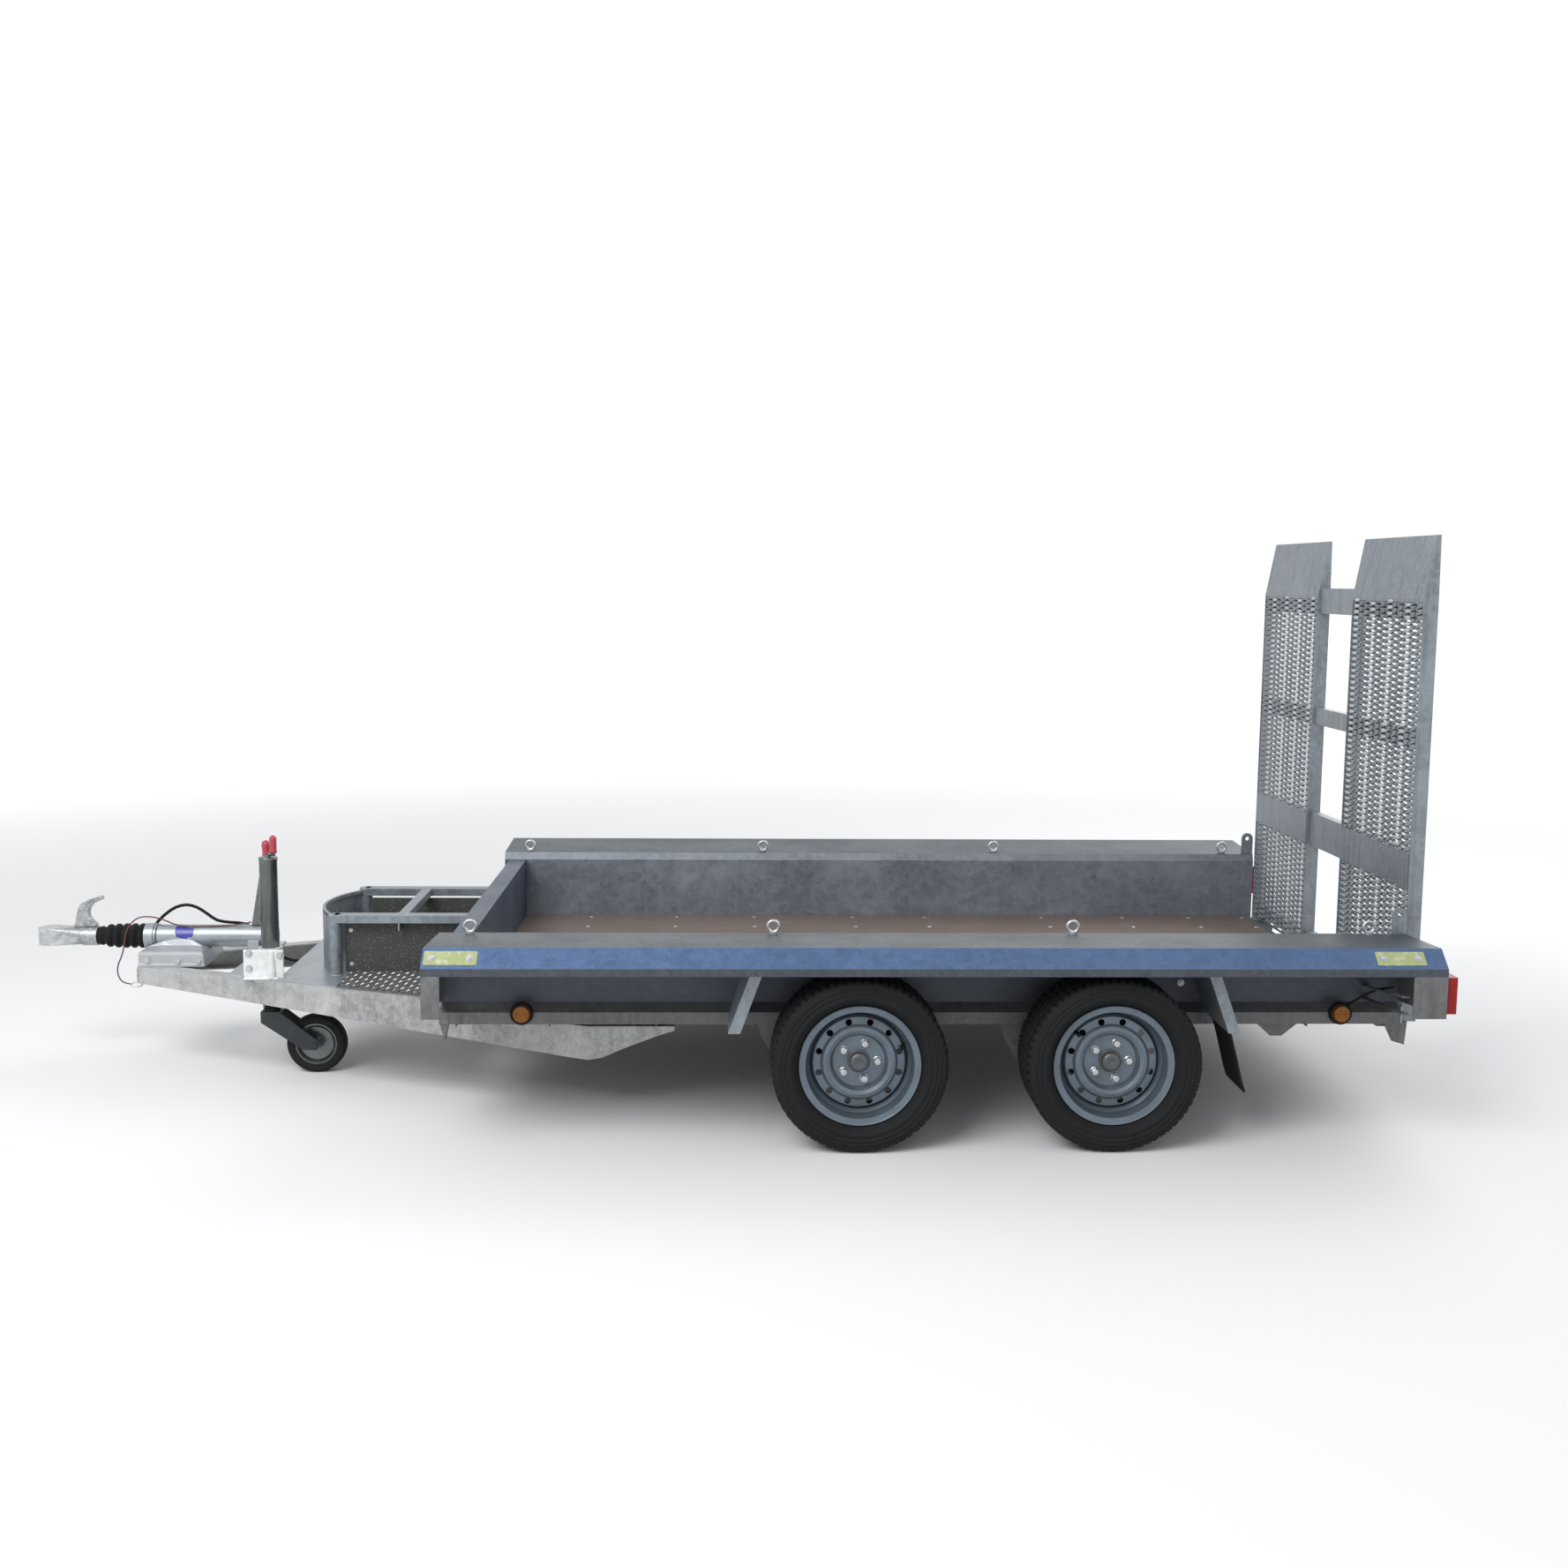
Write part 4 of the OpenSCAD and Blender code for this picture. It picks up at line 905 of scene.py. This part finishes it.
# Weld beads: start, end and the way each bead lifts, in bed millimetres; each is on both sides
BEADS = (
    ((2, 1036, 541), (2, 1084, 541), (-1, 0, -1)),
    ((6, 1036, 541), (6, 1086, 541), (1, 0, -1)),
    ((-440, 222, 530), (-440, 222, 554), (1, -1, 0)),
    ((-196, 224, 555), (-196, 266, 555), (1, 0, 1)),
    ((-230, 224, 555), (-230, 266, 555), (-1, 0, 1)),
    ((-1149, 112, 339), (-1149, 112, 288), (-1, 1, 0)),
    ((2986, 792, 382), (2986, 792, 326), (-1, 1, 0)),
)
# The same on the ramp: heights of the cross members' upper and lower edges
RAMP_BEADS = (367, 415, 739, 857, 1181, 1239, 1581, 1669)


class TRAILER_OT_welds(bpy.types.Operator):
    """Lays weld beads on the drawbar, the bucket rest, the bed and the ramp"""

    bl_idname = "trailer.welds"
    bl_label = "Welds"

    def execute(self, context):
        radius = context.scene.trailer_fasteners.bead
        fixed, swinging = Shell(), Shell()
        for start, end, lift in BEADS:
            for side in (-1, 1):
                a, b, n = (Vector((v[0], side * v[1], v[2])) for v in (start, end, lift))
                weld_bead(fixed, bed(*a), bed(*b), radius, n)
        for side in (-1, 1):
            ring = [bed(-439 + 24.5 * math.cos(t), side * 245 + 24.5 * math.sin(t), 348.5)
                    for t in [math.pi * k / 14 for k in range(29)]]
            for a, b in zip(ring[:-1:4], ring[4::4]):
                weld_bead(fixed, a, b, radius * 0.9, (0, 0, 1))
            for z in RAMP_BEADS:
                for out, turn in ((174.5, 1), (749.5, -1)):
                    weld_bead(swinging, bed(3013.5, side * out, z), bed(3042, side * out, z), radius,
                              (0, side * turn, 1 if z in RAMP_BEADS[1::2] else -1))
        fixed.piece("weld_beads", "trailer", "galvanised_light")
        swinging.piece("ramp_weld_beads", "ramp", "galvanised_light")
        return {"FINISHED"}


class TRAILER_OT_treads(bpy.types.Operator):
    """Puts expanded metal in place of the ramp's plain treads: knuckles joined by twisted strands"""

    bl_idname = "trailer.treads"
    bl_label = "Ramp treads"

    def execute(self, context):
        p = context.scene.trailer_grating
        low, high, inner, outer, face = 0.3555, 1.6395, 0.1742, 0.7498, 0.003
        shell, knuckles = Shell(), Shell()
        rows = int((high - low) / p.bead_pitch)
        pitch = (high - low - 0.012) / rows
        columns = [inner] + [0.212 + i * p.column_pitch for i in range(int(0.52 / p.column_pitch) + 1)] + [outer]
        half, thick = p.strand / 2, 0.0022
        for side in (-1, 1):
            for j in range(len(columns) - 1):
                y0, y1 = columns[j], columns[j + 1]
                for i in range(rows):
                    for rise in (-0.5, 0.5):
                        z0 = low + 0.006 + (i + 0.5 + (j % 2) / 2) * pitch
                        z1 = z0 + rise * pitch
                        if not (low < min(z0, z1) and max(z0, z1) < high):
                            continue
                        rings = []
                        for k in range(5):
                            share = k / 4
                            lean = 0.55 * math.sin(math.pi * share)
                            y = y0 + (y1 - y0) * share
                            z = z0 + (z1 - z0) * (3 * share ** 2 - 2 * share ** 3)
                            c, n = math.cos(lean), math.sin(lean)
                            rings.append([bed(1000 * (3.0028 + face + (a * n + b * c)), side * 1000 * y,
                                              1000 * (z + a * c - b * n))
                                          for a, b in ((-half, -thick / 2), (half, -thick / 2),
                                                       (half, thick / 2), (-half, thick / 2))])
                        shell.loft(rings, caps=False)
            for j in range(1, len(columns) - 1, 3):
                for i in range(rows):
                    z = low + 0.006 + (i + 0.5 + (j % 2) / 2) * pitch
                    if z + 0.004 > high or 0.732 < z < 0.864:
                        continue
                    at = bed(3003.2, side * 1000 * columns[j], 1000 * z)
                    w, h, d = p.knuckle / 2, 0.0052, 0.0026
                    rings = [[at + Vector((x, side * y, zz)) for y, zz in ((-a * w, 0), (-a * w * 0.6, b * h),
                                                                   (a * w * 0.6, b * h), (a * w, 0),
                                                                   (a * w * 0.6, -b * h), (-a * w * 0.6, -b * h))]
                             for x, a, b in ((-d, 0.72, 0.6), (-d * 0.4, 0.95, 0.95), (d, 1.0, 1.0))]
                    knuckles.loft(rings)
            for y0, y1, z0, z1 in ((inner, outer, low - 0.0005, low + 0.0075), (inner, outer, high - 0.0075, high + 0.0005)):
                shell.add([bed(1000 * x, side * 1000 * y, 1000 * z) for x in (3.0035, 3.0075)
                           for y, z in ((y0, z0), (y1, z0), (y1, z1), (y0, z1))],
                          [(0, 1, 2, 3), (7, 6, 5, 4), (0, 4, 5, 1), (1, 5, 6, 2), (2, 6, 7, 3), (3, 7, 4, 0)])
        mesh = shell.piece("expanded_treads", "ramp", "galvanised_ramp", smooth=False)
        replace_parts(mesh, "ramp_treads")
        # The knuckles take the brighter zinc plate, though they are of one sheet with the strands: painted highlight of
        # the bright columns
        knuckles.piece("tread_knuckles", "ramp", "bright_zinc", smooth=False)
        plates = Shell()
        for side in (-1, 1):
            plates.box((3000.6, min(side * 176, side * 748), 740), (3004.0, max(side * 176, side * 748), 856))
        plates.piece("tread_cover_plates", "ramp", "galvanised_ramp", smooth=False)
        return {"FINISHED"}


class TRAILER_OT_lamps(bpy.types.Operator):
    """Gives the side lamps their black rims and ribbed domes, and the tail lamps their lenses"""

    bl_idname = "trailer.lamps"
    bl_label = "Lamps"

    def execute(self, context):
        rims, domes, lenses, ribs = Shell(), Shell(), Shell(), Shell()
        for x in (253, 2791):
            for side in (-1, 1):
                place = Matrix.Translation(bed(x, side * 791, 359)) @ Matrix.Rotation(
                    math.radians(-90 * side), 4, "X")
                rims.turned([(0.0290, 0.0004), (0.0352, 0.0004), (0.0360, 0.0030), (0.0352, 0.0128), (0.0330, 0.0150),
                             (0.0296, 0.0152), (0.0288, 0.0130)], 48, place, closed=True)
                dome = [(0.0285 * math.cos(a), 0.0215 + 0.0030 * math.sin(a))
                        for a in [math.pi / 2 * k / 6 for k in range(7)]]
                domes.turned([(0.0285, 0.0120)] + dome, 48, place)
                for k in range(-2, 3):
                    w = math.sqrt(0.0275 ** 2 - (0.0095 * k) ** 2) - 0.002
                    rings = [[place @ Vector((u * w, 0.0095 * k + v, 0.0222 + h - 0.0012 * abs(k)))
                              for v, h in ((-0.0013, 0.0), (0.0, 0.0034), (0.0013, 0.0))] for u in (-1, -0.4, 0.4, 1)]
                    ribs.loft(rings)
        for side in (-1, 1):
            for out0, out1 in ((850, 930), (932, 990), (992, 1060)):
                y0, y1 = sorted((side * out0, side * out1))
                for z in range(432, 534, 8):
                    rings = [[bed(3035.6 + d, y, z + h) for d, h in ((0, -3.4), (1.1, 0), (0, 3.4))] for y in (y0, y1)]
                    lenses.loft(rings)
        rims.piece("marker_rims", "trailer", "black_rubber")
        domes.piece("marker_domes", "trailer", "amber_plastic")
        ribs.piece("marker_ribs", "trailer", "amber_plastic", smooth=False)
        lenses.piece("lens_ribs", "trailer", "lamp_plastic", smooth=False)
        return {"FINISHED"}


class TRAILER_OT_small_fittings(bpy.types.Operator):
    """Adds the small pieces of the drawbar and the bed that the solids leave out"""

    bl_idname = "trailer.small_fittings"
    bl_label = "Small fittings"

    def execute(self, context):
        # Blank blue mark, wrapped round the overrun tube's near side
        mark, spread = Shell(), ((-33, 30, 62), (-26, 4, 74), (-16, 2, 70), (-8, -4, 66), (0, -2, 62), (8, -6, 60),
                                 (16, 6, 52), (24, 2, 56), (31, 14, 50))
        for x, low, high in spread:
            mark.points += [bed(-1010 + x, 0, 428) + 0.0402 * Vector((0, -math.cos(a), math.sin(a)))
                            for a in [math.radians(low + (high - low) * k / 8) for k in range(9)]]
        mark.faces += [(9 * i + k, 9 * i + k + 1, 9 * i + k + 10, 9 * i + k + 9)
                       for i in range(len(spread) - 1) for k in range(8)]
        mark.piece("blue_mark", "trailer", "blue_mark")

        # Stays and lamp bracket under the rear corners, and the lamp's cable
        stays, cables, tags = Shell(), Shell(), Shell()
        for side in (-1, 1):
            for low, high in ((437, 475), (396, 424)):
                rings = [[bed(2884 + dx, side * y, z + dz) for dx, dz in ((-11, 0), (11, 0), (11, 3), (-11, 3))]
                         for y, z in ((756, low - 2), (1064, high))]
                stays.loft(rings)
            route = [bed(2815, side * 792, 386), bed(2838, side * 806, 404), bed(2862, side * 830, 430),
                     bed(2884, side * 862, 452), bed(2910, side * 905, 468)]
            rings = []
            for i, point in enumerate(route):
                along = (route[min(i + 1, 4)] - route[max(i - 1, 0)]).normalized()
                flat = along.cross(Vector((0, 0, 1))).normalized()
                rings.append([point + 0.0035 * (math.cos(a) * flat + math.sin(a) * flat.cross(along))
                              for a in [math.pi / 4 * k for k in range(8)]])
            cables.loft(rings)
            tags.loft([[bed(562 + dx, side * 788.4, z) for dx in (-3, 3)] + [bed(562 + dx, side * 789.4, z)
                       for dx in (3, -3)] for z in (327, 358)])
        stays.piece("rear_stays", "trailer", "galvanised_dark", smooth=False)
        cables.piece("lamp_cables", "trailer", "black_rubber")
        tags.piece("rail_tags", "trailer", "bright_zinc", smooth=False)

        return {"FINISHED"}


def beam_out(x):
    """Distance of the drawbar beams' outer face from the middle, in bed millimetres."""
    return 111 + (x + 1150) * 642 / 1600


TUBE_Z = 428


class TRAILER_OT_coupling_fittings(bpy.types.Operator):
    """Puts the cast saddle, the bellows and the curved handle in place of their plain solids"""

    bl_idname = "trailer.coupling_fittings"
    bl_label = "Coupling fittings"

    def execute(self, context):
        saddle, half = Shell(), 116
        # Height of the casting above the beams along its length
        heights = ((0, 48), (10, 56), (66, 76), (98, 82), (124, 84), (150, 82), (168, 78), (200, 60), (216, 50),
                   (222, 40), (226, 9))
        section = ((half, 0), (half, 8), (half - 5, 12), (half - 8, 44), (half - 16, 51), (50, 62), (43, 84))
        section += tuple((-y, z) for y, z in reversed(section))
        saddle.loft([[bed(-1146 + x, y, 342 + min(z, top)) for y, z in section] for x, top in heights])
        saddle.box((-1146, -105, 292), (-1140, 105, 337))
        saddle.plan_prism([(-799, -beam_out(-799)), (-741, -beam_out(-741)), (-741, beam_out(-741)),
                           (-799, beam_out(-799))], 342, 350)
        saddle.box((-789, -48, 350), (-751, 48, 420))
        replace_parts(saddle.piece("saddle", "trailer", "casting", smooth=False, bevel=0.0025), "drawbar_head")

        bellows = Shell()
        radii = (33, 40, 42, 43, 43, 43)
        step = 166 / len(radii)
        profile = [(0.026, 0.0), (0.029, 0.0)]
        for i, r in enumerate(radii):
            profile += [(q / 1000, (i + part) * step / 1000) for part, q in (
                (0.02, 29 + 0.6 * i), (0.20, r - 4), (0.32, r - 1), (0.42, r), (0.58, r), (0.68, r - 1),
                (0.80, r - 4), (0.98, 29.6 + 0.6 * i))]
        profile += [(0.033, 0.166), (0.026, 0.166)]
        bellows.turned(profile, 56, facing(bed(-1316, 0, TUBE_Z), (1, 0, 0)))
        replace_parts(bellows.piece("bellows", "trailer", "black_rubber"), "gaiter")

        handle = Shell()
        outline = ((76, 34), (83, 41), (90, 74), (97, 101), (108, 117), (129, 127), (173, 142), (181, 139),
                   (182, 130), (150, 116), (138, 102), (132, 84), (134, 68), (146, 52), (158, 42), (158, 34))
        handle.side_prism([(-1478 + x, TUBE_Z + z) for x, z in outline], -13, 13)
        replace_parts(handle.piece("handle", "trailer", "dull_casting", smooth=False, bevel=0.003), "coupling_handle")

        ring = Shell()
        ring.turned([(0.0396, 0.0), (0.0412, 0.0008), (0.0412, 0.0052), (0.0396, 0.006)], 56,
                    facing(bed(-1112, 0, TUBE_Z), (1, 0, 0)), closed=True)
        ring.piece("tube_ring", "trailer", "dark_cap")
        return {"FINISHED"}


class TRAILER_OT_levers(bpy.types.Operator):
    """Puts the folded handbrake lever, both grips, the stem and its bracket in place of their plain solids"""

    bl_idname = "trailer.levers"
    bl_label = "Levers and bracket"

    def execute(self, context):
        lever, foot, top = Shell(), 468, 712
        outer = [(-783, foot), (-703, foot), (-712, top), (-739, top)]
        for y0, y1 in ((-15, -11), (11, 15)):
            lever.side_prism(outer, y0, y1)
        lever.side_prism([(-783, foot), (-703, foot), (-703, foot + 12), (-773, foot + 12), (-733, top - 8),
                          (-712, top - 8), (-712, top), (-739, top)], -11, 11)
        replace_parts(lever.piece("lever", "trailer", "dark_lever", smooth=False, bevel=0.0018), "handbrake_lever")

        grips = Shell()
        for x, y, z, r0, r1, long in ((-729, 0, top, 13, 15, 41), (-650, -200, 756, 12, 12, 48)):
            profile = [(0.0, 0.0), (r0 / 1000, 0.0), (r0 / 1000 + 0.001, 0.003)]
            profile += [((r0 + (r1 - r0) * k / 4) / 1000 - 0.0006 * (k % 2), long / 1000 * (0.2 + 0.16 * k))
                        for k in range(5)]
            profile += [(r1 / 1000 * math.cos(a), (long + r1 * 0.98 * math.sin(a)) / 1000)
                        for a in [math.pi / 2 * k / 8 for k in range(9)]]
            grips.turned(profile, 32, Matrix.Translation(bed(x, y, z)))
        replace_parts(grips.piece("grips", "trailer", "red_plastic"), "red_grips")

        stem = Shell()
        at = Matrix.Translation(bed(-668, -200, 0))
        stem.turned([(0.027, 0.222), (0.030, 0.222), (0.030, 0.729), (0.0312, 0.731), (0.0312, 0.741), (0.030, 0.742),
                     (0.009, 0.742), (0.009, 0.750), (0.0, 0.750)], 56, at)
        stem.turned([(0.0, -0.0235), (0.0055, -0.0235), (0.0055, 0.0085), (0.0, 0.0085)], 16,
                    facing(bed(-652, -200, 751), (1, 0, 0)))
        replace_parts(stem.piece("stem", "trailer", "stem"), "jockey_tube")

        plate = Shell()
        plate.box((-735, -290.4, 342), (-602, -284.4, 442))
        plate.box((-735, -300.4, 342), (-620, -244, 348))
        plate.turned([(0.0, 0.002), (0.019, 0.002), (0.012, 0.096), (0.0, 0.096)], 28,
                     Matrix.Translation(bed(-642, -283, 342)))
        plate.box((-702, -285, 354), (-634, -200, 434))
        plate.turned([(0.0301, 0.012), (0.040, 0.012), (0.040, 0.092), (0.0301, 0.092)], 48,
                     Matrix.Translation(bed(-668, -200, 342)), closed=True)
        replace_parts(plate.piece("stem_bracket", "trailer", "pale_plate", smooth=False, bevel=0.002),
                    "jockey_bracket")
        return {"FINISHED"}


class TRAILER_OT_tongue(bpy.types.Operator):
    """Puts a plain plate and expanded metal in place of the drawbar's plain deck"""

    bl_idname = "trailer.tongue"
    bl_label = "Drawbar deck"

    def execute(self, context):
        deck, start, pitch, wave, low, high = Shell(), -400, 24.0, 30.0, 342.5, 346.8
        plate = Shell()
        plate.plan_prism([(-618, -beam_out(-618)), (start, -beam_out(start)), (start, beam_out(start)),
                         (-618, beam_out(-618))], 342, 347)
        for side in (-1, 1):
            deck.plan_prism([(start, side * beam_out(start)), (0, side * beam_out(0)),
                             (0, side * (beam_out(0) - 9)), (start, side * (beam_out(start) - 9))], 342, 346)
        deck.box((-8, -beam_out(-8), 342), (0, beam_out(-8), 346.5))
        for row in range(int(-start / pitch)):
            middle = start + pitch * (row + 0.5)
            count = int(beam_out(middle) / wave)
            rings = []
            for k in range(-count, count + 1):
                x = middle + (4.6 if (k + row) % 2 else -4.6)
                lean = 1.4 if (k + row) % 2 else -1.4
                rings.append([bed(x - 9.2, k * wave, low - lean), bed(x + 9.2, k * wave, low + lean),
                              bed(x + 9.2, k * wave, high + lean - 1.0), bed(x - 9.2, k * wave, high - lean - 1.0)])
            deck.loft(rings)
        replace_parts(deck.piece("drawbar_mesh", "trailer", "mesh_metal", smooth=False), "tongue_deck")
        plate.piece("drawbar_plate", "trailer", "dull_tube", smooth=False)
        return {"FINISHED"}


class TRAILER_OT_bucket_frame(bpy.types.Operator):
    """Puts round posts, rails and a bulged front sheet in place of the bucket rest's plain solids"""

    bl_idname = "trailer.bucket_frame"
    bl_label = "Bucket rest"

    def execute(self, context):
        rest, foot, top, post, half, bulge = Shell(), 347, 556, -439, 245, 88
        for side in (-1, 1):
            rest.turned([(0.0, 0.0), (0.023, 0.0), (0.023, 0.207), (0.021, 0.209), (0.0, 0.209)], 40,
                        Matrix.Translation(bed(post, side * half, foot)))
            inner, outer = sorted((side * 222, side * 268))
            rest.box((post, inner, top - 28), (81, outer, top))
            rest.box((-224, inner, top - 54), (-218, outer, top - 28))
        rest.box((-230, -266, top - 27), (-196, 266, top - 0.6))
        radius = (half * half + bulge * bulge) / (2 * bulge)
        turn = math.asin(half / radius)
        for thick, z0, z1 in ((3, foot, top - 8), (10, top - 20, top - 6)):
            arc = [(math.cos(a), math.sin(a)) for a in [math.pi - turn + 2 * turn * k / 24 for k in range(25)]]
            centre = post - bulge + radius
            rest.plan_prism([(centre + radius * c, radius * d) for c, d in arc]
                            + [(centre + (radius - thick) * c, (radius - thick) * d) for c, d in reversed(arc)], z0, z1)
        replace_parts(rest.piece("bucket_frame", "trailer", "galvanised_ramp", smooth=False, bevel=0.0018),
                    "bucket_rest")
        return {"FINISHED"}


class TRAILER_OT_ramp_tip_plates(bpy.types.Operator):
    """Closes the ramp's bent tips with their plates"""

    bl_idname = "trailer.ramp_tip_plates"
    bl_label = "Ramp tips"

    def execute(self, context):
        tips = Shell()
        for side in (-1, 1):
            tips.side_prism([(3002.4, 1640), (3037.1, 1836.9), (3041.1, 1836.9), (3006.4, 1640)], side * 174, side * 750)
        tips.piece("ramp_tip_plates", "ramp", "galvanised_ramp", smooth=False)
        return {"FINISHED"}


# The two cords: radius, steps between two points, sides, and the route in bed millimetres
CORDS = {
    "electric_cable": (5.5, 2, 10, (
        (-600, 30, 330), (-650, 34, 331), (-694, 46, 342), (-724, 58, 366), (-748, 63, 400), (-782, 58, 434),
        (-818, 36, 463), (-862, 10, 473.5), (-905, 0, 483), (-938, -4, 507), (-972, -6, 530), (-1008, -6, 539),
        (-1046, -4, 530), (-1080, 2, 508), (-1108, 18, 484), (-1132, 46, 462), (-1150, 78, 436),
        (-1160, 106, 406), (-1154, 128, 380), (-1136, 140, 364), (-1112, 142, 361.3))),
    "breakaway_cable": (2.5, 3, 8, (
        (-786, -6, 478), (-826, -14, 471), (-880, -18, 467), (-940, -20, 466), (-1000, -21, 466),
        (-1044, -24, 473), (-1080, -34, 491), (-1118, -46, 504), (-1156, -54, 503), (-1184, -60, 483),
        (-1201, -64, 449), (-1207, -66, 410), (-1216, -67, 373), (-1231, -68, 335), (-1231, -68, 302),
        (-1216, -67, 278), (-1190, -66, 271))),
}


def smooth_route(points, steps):
    """A smooth curve through a cord's points."""
    points = [Vector(p) for p in points]
    last = len(points) - 1
    line = []
    for i in range(last):
        a, b, c, d = points[max(i - 1, 0)], points[i], points[i + 1], points[min(i + 2, last)]
        for k in range(steps):
            t = k / steps
            line.append(b + 0.5 * t * ((c - a) + t * (2 * a - 5 * b + 4 * c - d + t * (3 * b - a - 3 * c + d))))
    return line + [points[last]]


class TRAILER_OT_cords(bpy.types.Operator):
    """Adds the electric and the breakaway cable with the plug and the clip on them"""

    bl_idname = "trailer.cords"
    bl_label = "Cords"

    def execute(self, context):
        plug, clip = Shell(), Shell()
        for start, long, radius in ((0.6, 20, 9), (20, 25, 15), (40, 34, 12), (52, 8, 17)):
            plug.turned([(0, 0), (radius / 1000, 0), (radius / 1000, long / 1000), (0, long / 1000)], 24,
                        facing(bed(-1112 + start, 142, 361.3), (1, 0, 0)))
        plug = plug.piece("cable_plug", "trailer", "black_rubber", smooth=False)
        ring = [(-0.020 * math.cos(math.pi * k / 8), 0.008 * math.sin(math.pi * k / 8)) for k in range(16)]
        rings = []
        for i, (x, z) in enumerate(ring):
            a, b = ring[i - 1], ring[(i + 1) % len(ring)]
            along = Vector((b[0] - a[0], 0, b[1] - a[1])).normalized()
            out = along.cross(Vector((0, 1, 0)))
            at = bed(-1170, -66, 269) + Vector((x, 0, z))
            rings.append([at + 0.003 * (math.cos(t) * out + math.sin(t) * Vector((0, 1, 0)))
                          for t in [math.pi * k / 4 for k in range(8)]])
        clip.loft(rings + rings[:1], caps=False)
        clip = clip.piece("breakaway_clip", "trailer", "bright_zinc")
        looks = {"electric_cable": ("plug", plug, "black_rubber"), "breakaway_cable": ("fitting", clip, "breakaway_red")}
        for name, (radius, steps, sides, points) in CORDS.items():
            line = [bed(*p) for p in smooth_route(points, steps)]
            tube, rings = Shell(), []
            for i, at in enumerate(line):
                along = (line[min(i + 1, len(line) - 1)] - line[max(i - 1, 0)]).normalized()
                flat = along.cross(Vector((0, 1, 0.02))).normalized()
                rings.append([at + radius / 1000 * (math.cos(t) * flat + math.sin(t) * flat.cross(along))
                              for t in [2 * math.pi * k / sides for k in range(sides)]])
            tube.loft(rings)
            far_end, fitting, slot = looks[name]
            obj = tube.piece(name, "trailer", slot)
        return {"FINISHED"}


CLASSES = (TrailerColours, TrailerTyres, TrailerFasteners, TrailerGrating, TrailerStage, TRAILER_OT_stage, TRAILER_OT_finishes,
           TRAILER_OT_road_tyres, TRAILER_OT_wheel_fittings, TRAILER_OT_reflectors, TRAILER_OT_fasteners,
           TRAILER_OT_welds, TRAILER_OT_treads, TRAILER_OT_lamps, TRAILER_OT_small_fittings, TRAILER_OT_coupling_fittings,
           TRAILER_OT_levers, TRAILER_OT_tongue, TRAILER_OT_bucket_frame, TRAILER_OT_ramp_tip_plates, TRAILER_OT_cords)
GROUPS = {"trailer_colours": TrailerColours, "trailer_tyres": TrailerTyres, "trailer_fasteners": TrailerFasteners,
          "trailer_grating": TrailerGrating, "trailer_stage": TrailerStage}
STEPS = ("stage", "finishes", "road_tyres", "wheel_fittings", "reflectors", "fasteners", "welds", "treads",
         "lamps", "small_fittings", "coupling_fittings", "levers", "tongue", "bucket_frame", "ramp_tip_plates",
         "cords")


class TRAILER_PT_panel(bpy.types.Panel):
    """The trailer's steps and their settings"""

    bl_idname = "TRAILER_PT_panel"
    bl_label = "Plant trailer"
    bl_space_type = "VIEW_3D"
    bl_region_type = "UI"
    bl_category = "Trailer"

    def draw(self, context):
        for step in STEPS:
            self.layout.operator("trailer." + step)
        for group in GROUPS:
            box = self.layout.box()
            values = getattr(context.scene, group)
            for name in values.__annotations__:
                box.prop(values, name)


def register():
    for cls in (*CLASSES, TRAILER_PT_panel):
        bpy.utils.register_class(cls)
    for name, kind in GROUPS.items():
        setattr(bpy.types.Scene, name, PointerProperty(type=kind))


def unregister():
    for name in GROUPS:
        delattr(bpy.types.Scene, name)
    for cls in reversed((*CLASSES, TRAILER_PT_panel)):
        bpy.utils.unregister_class(cls)


def main():
    register()
    for step in STEPS:
        if getattr(bpy.ops.trailer, step)() != {"FINISHED"}:
            raise RuntimeError("step " + step + " did not finish")


if __name__ == "__main__":
    main()
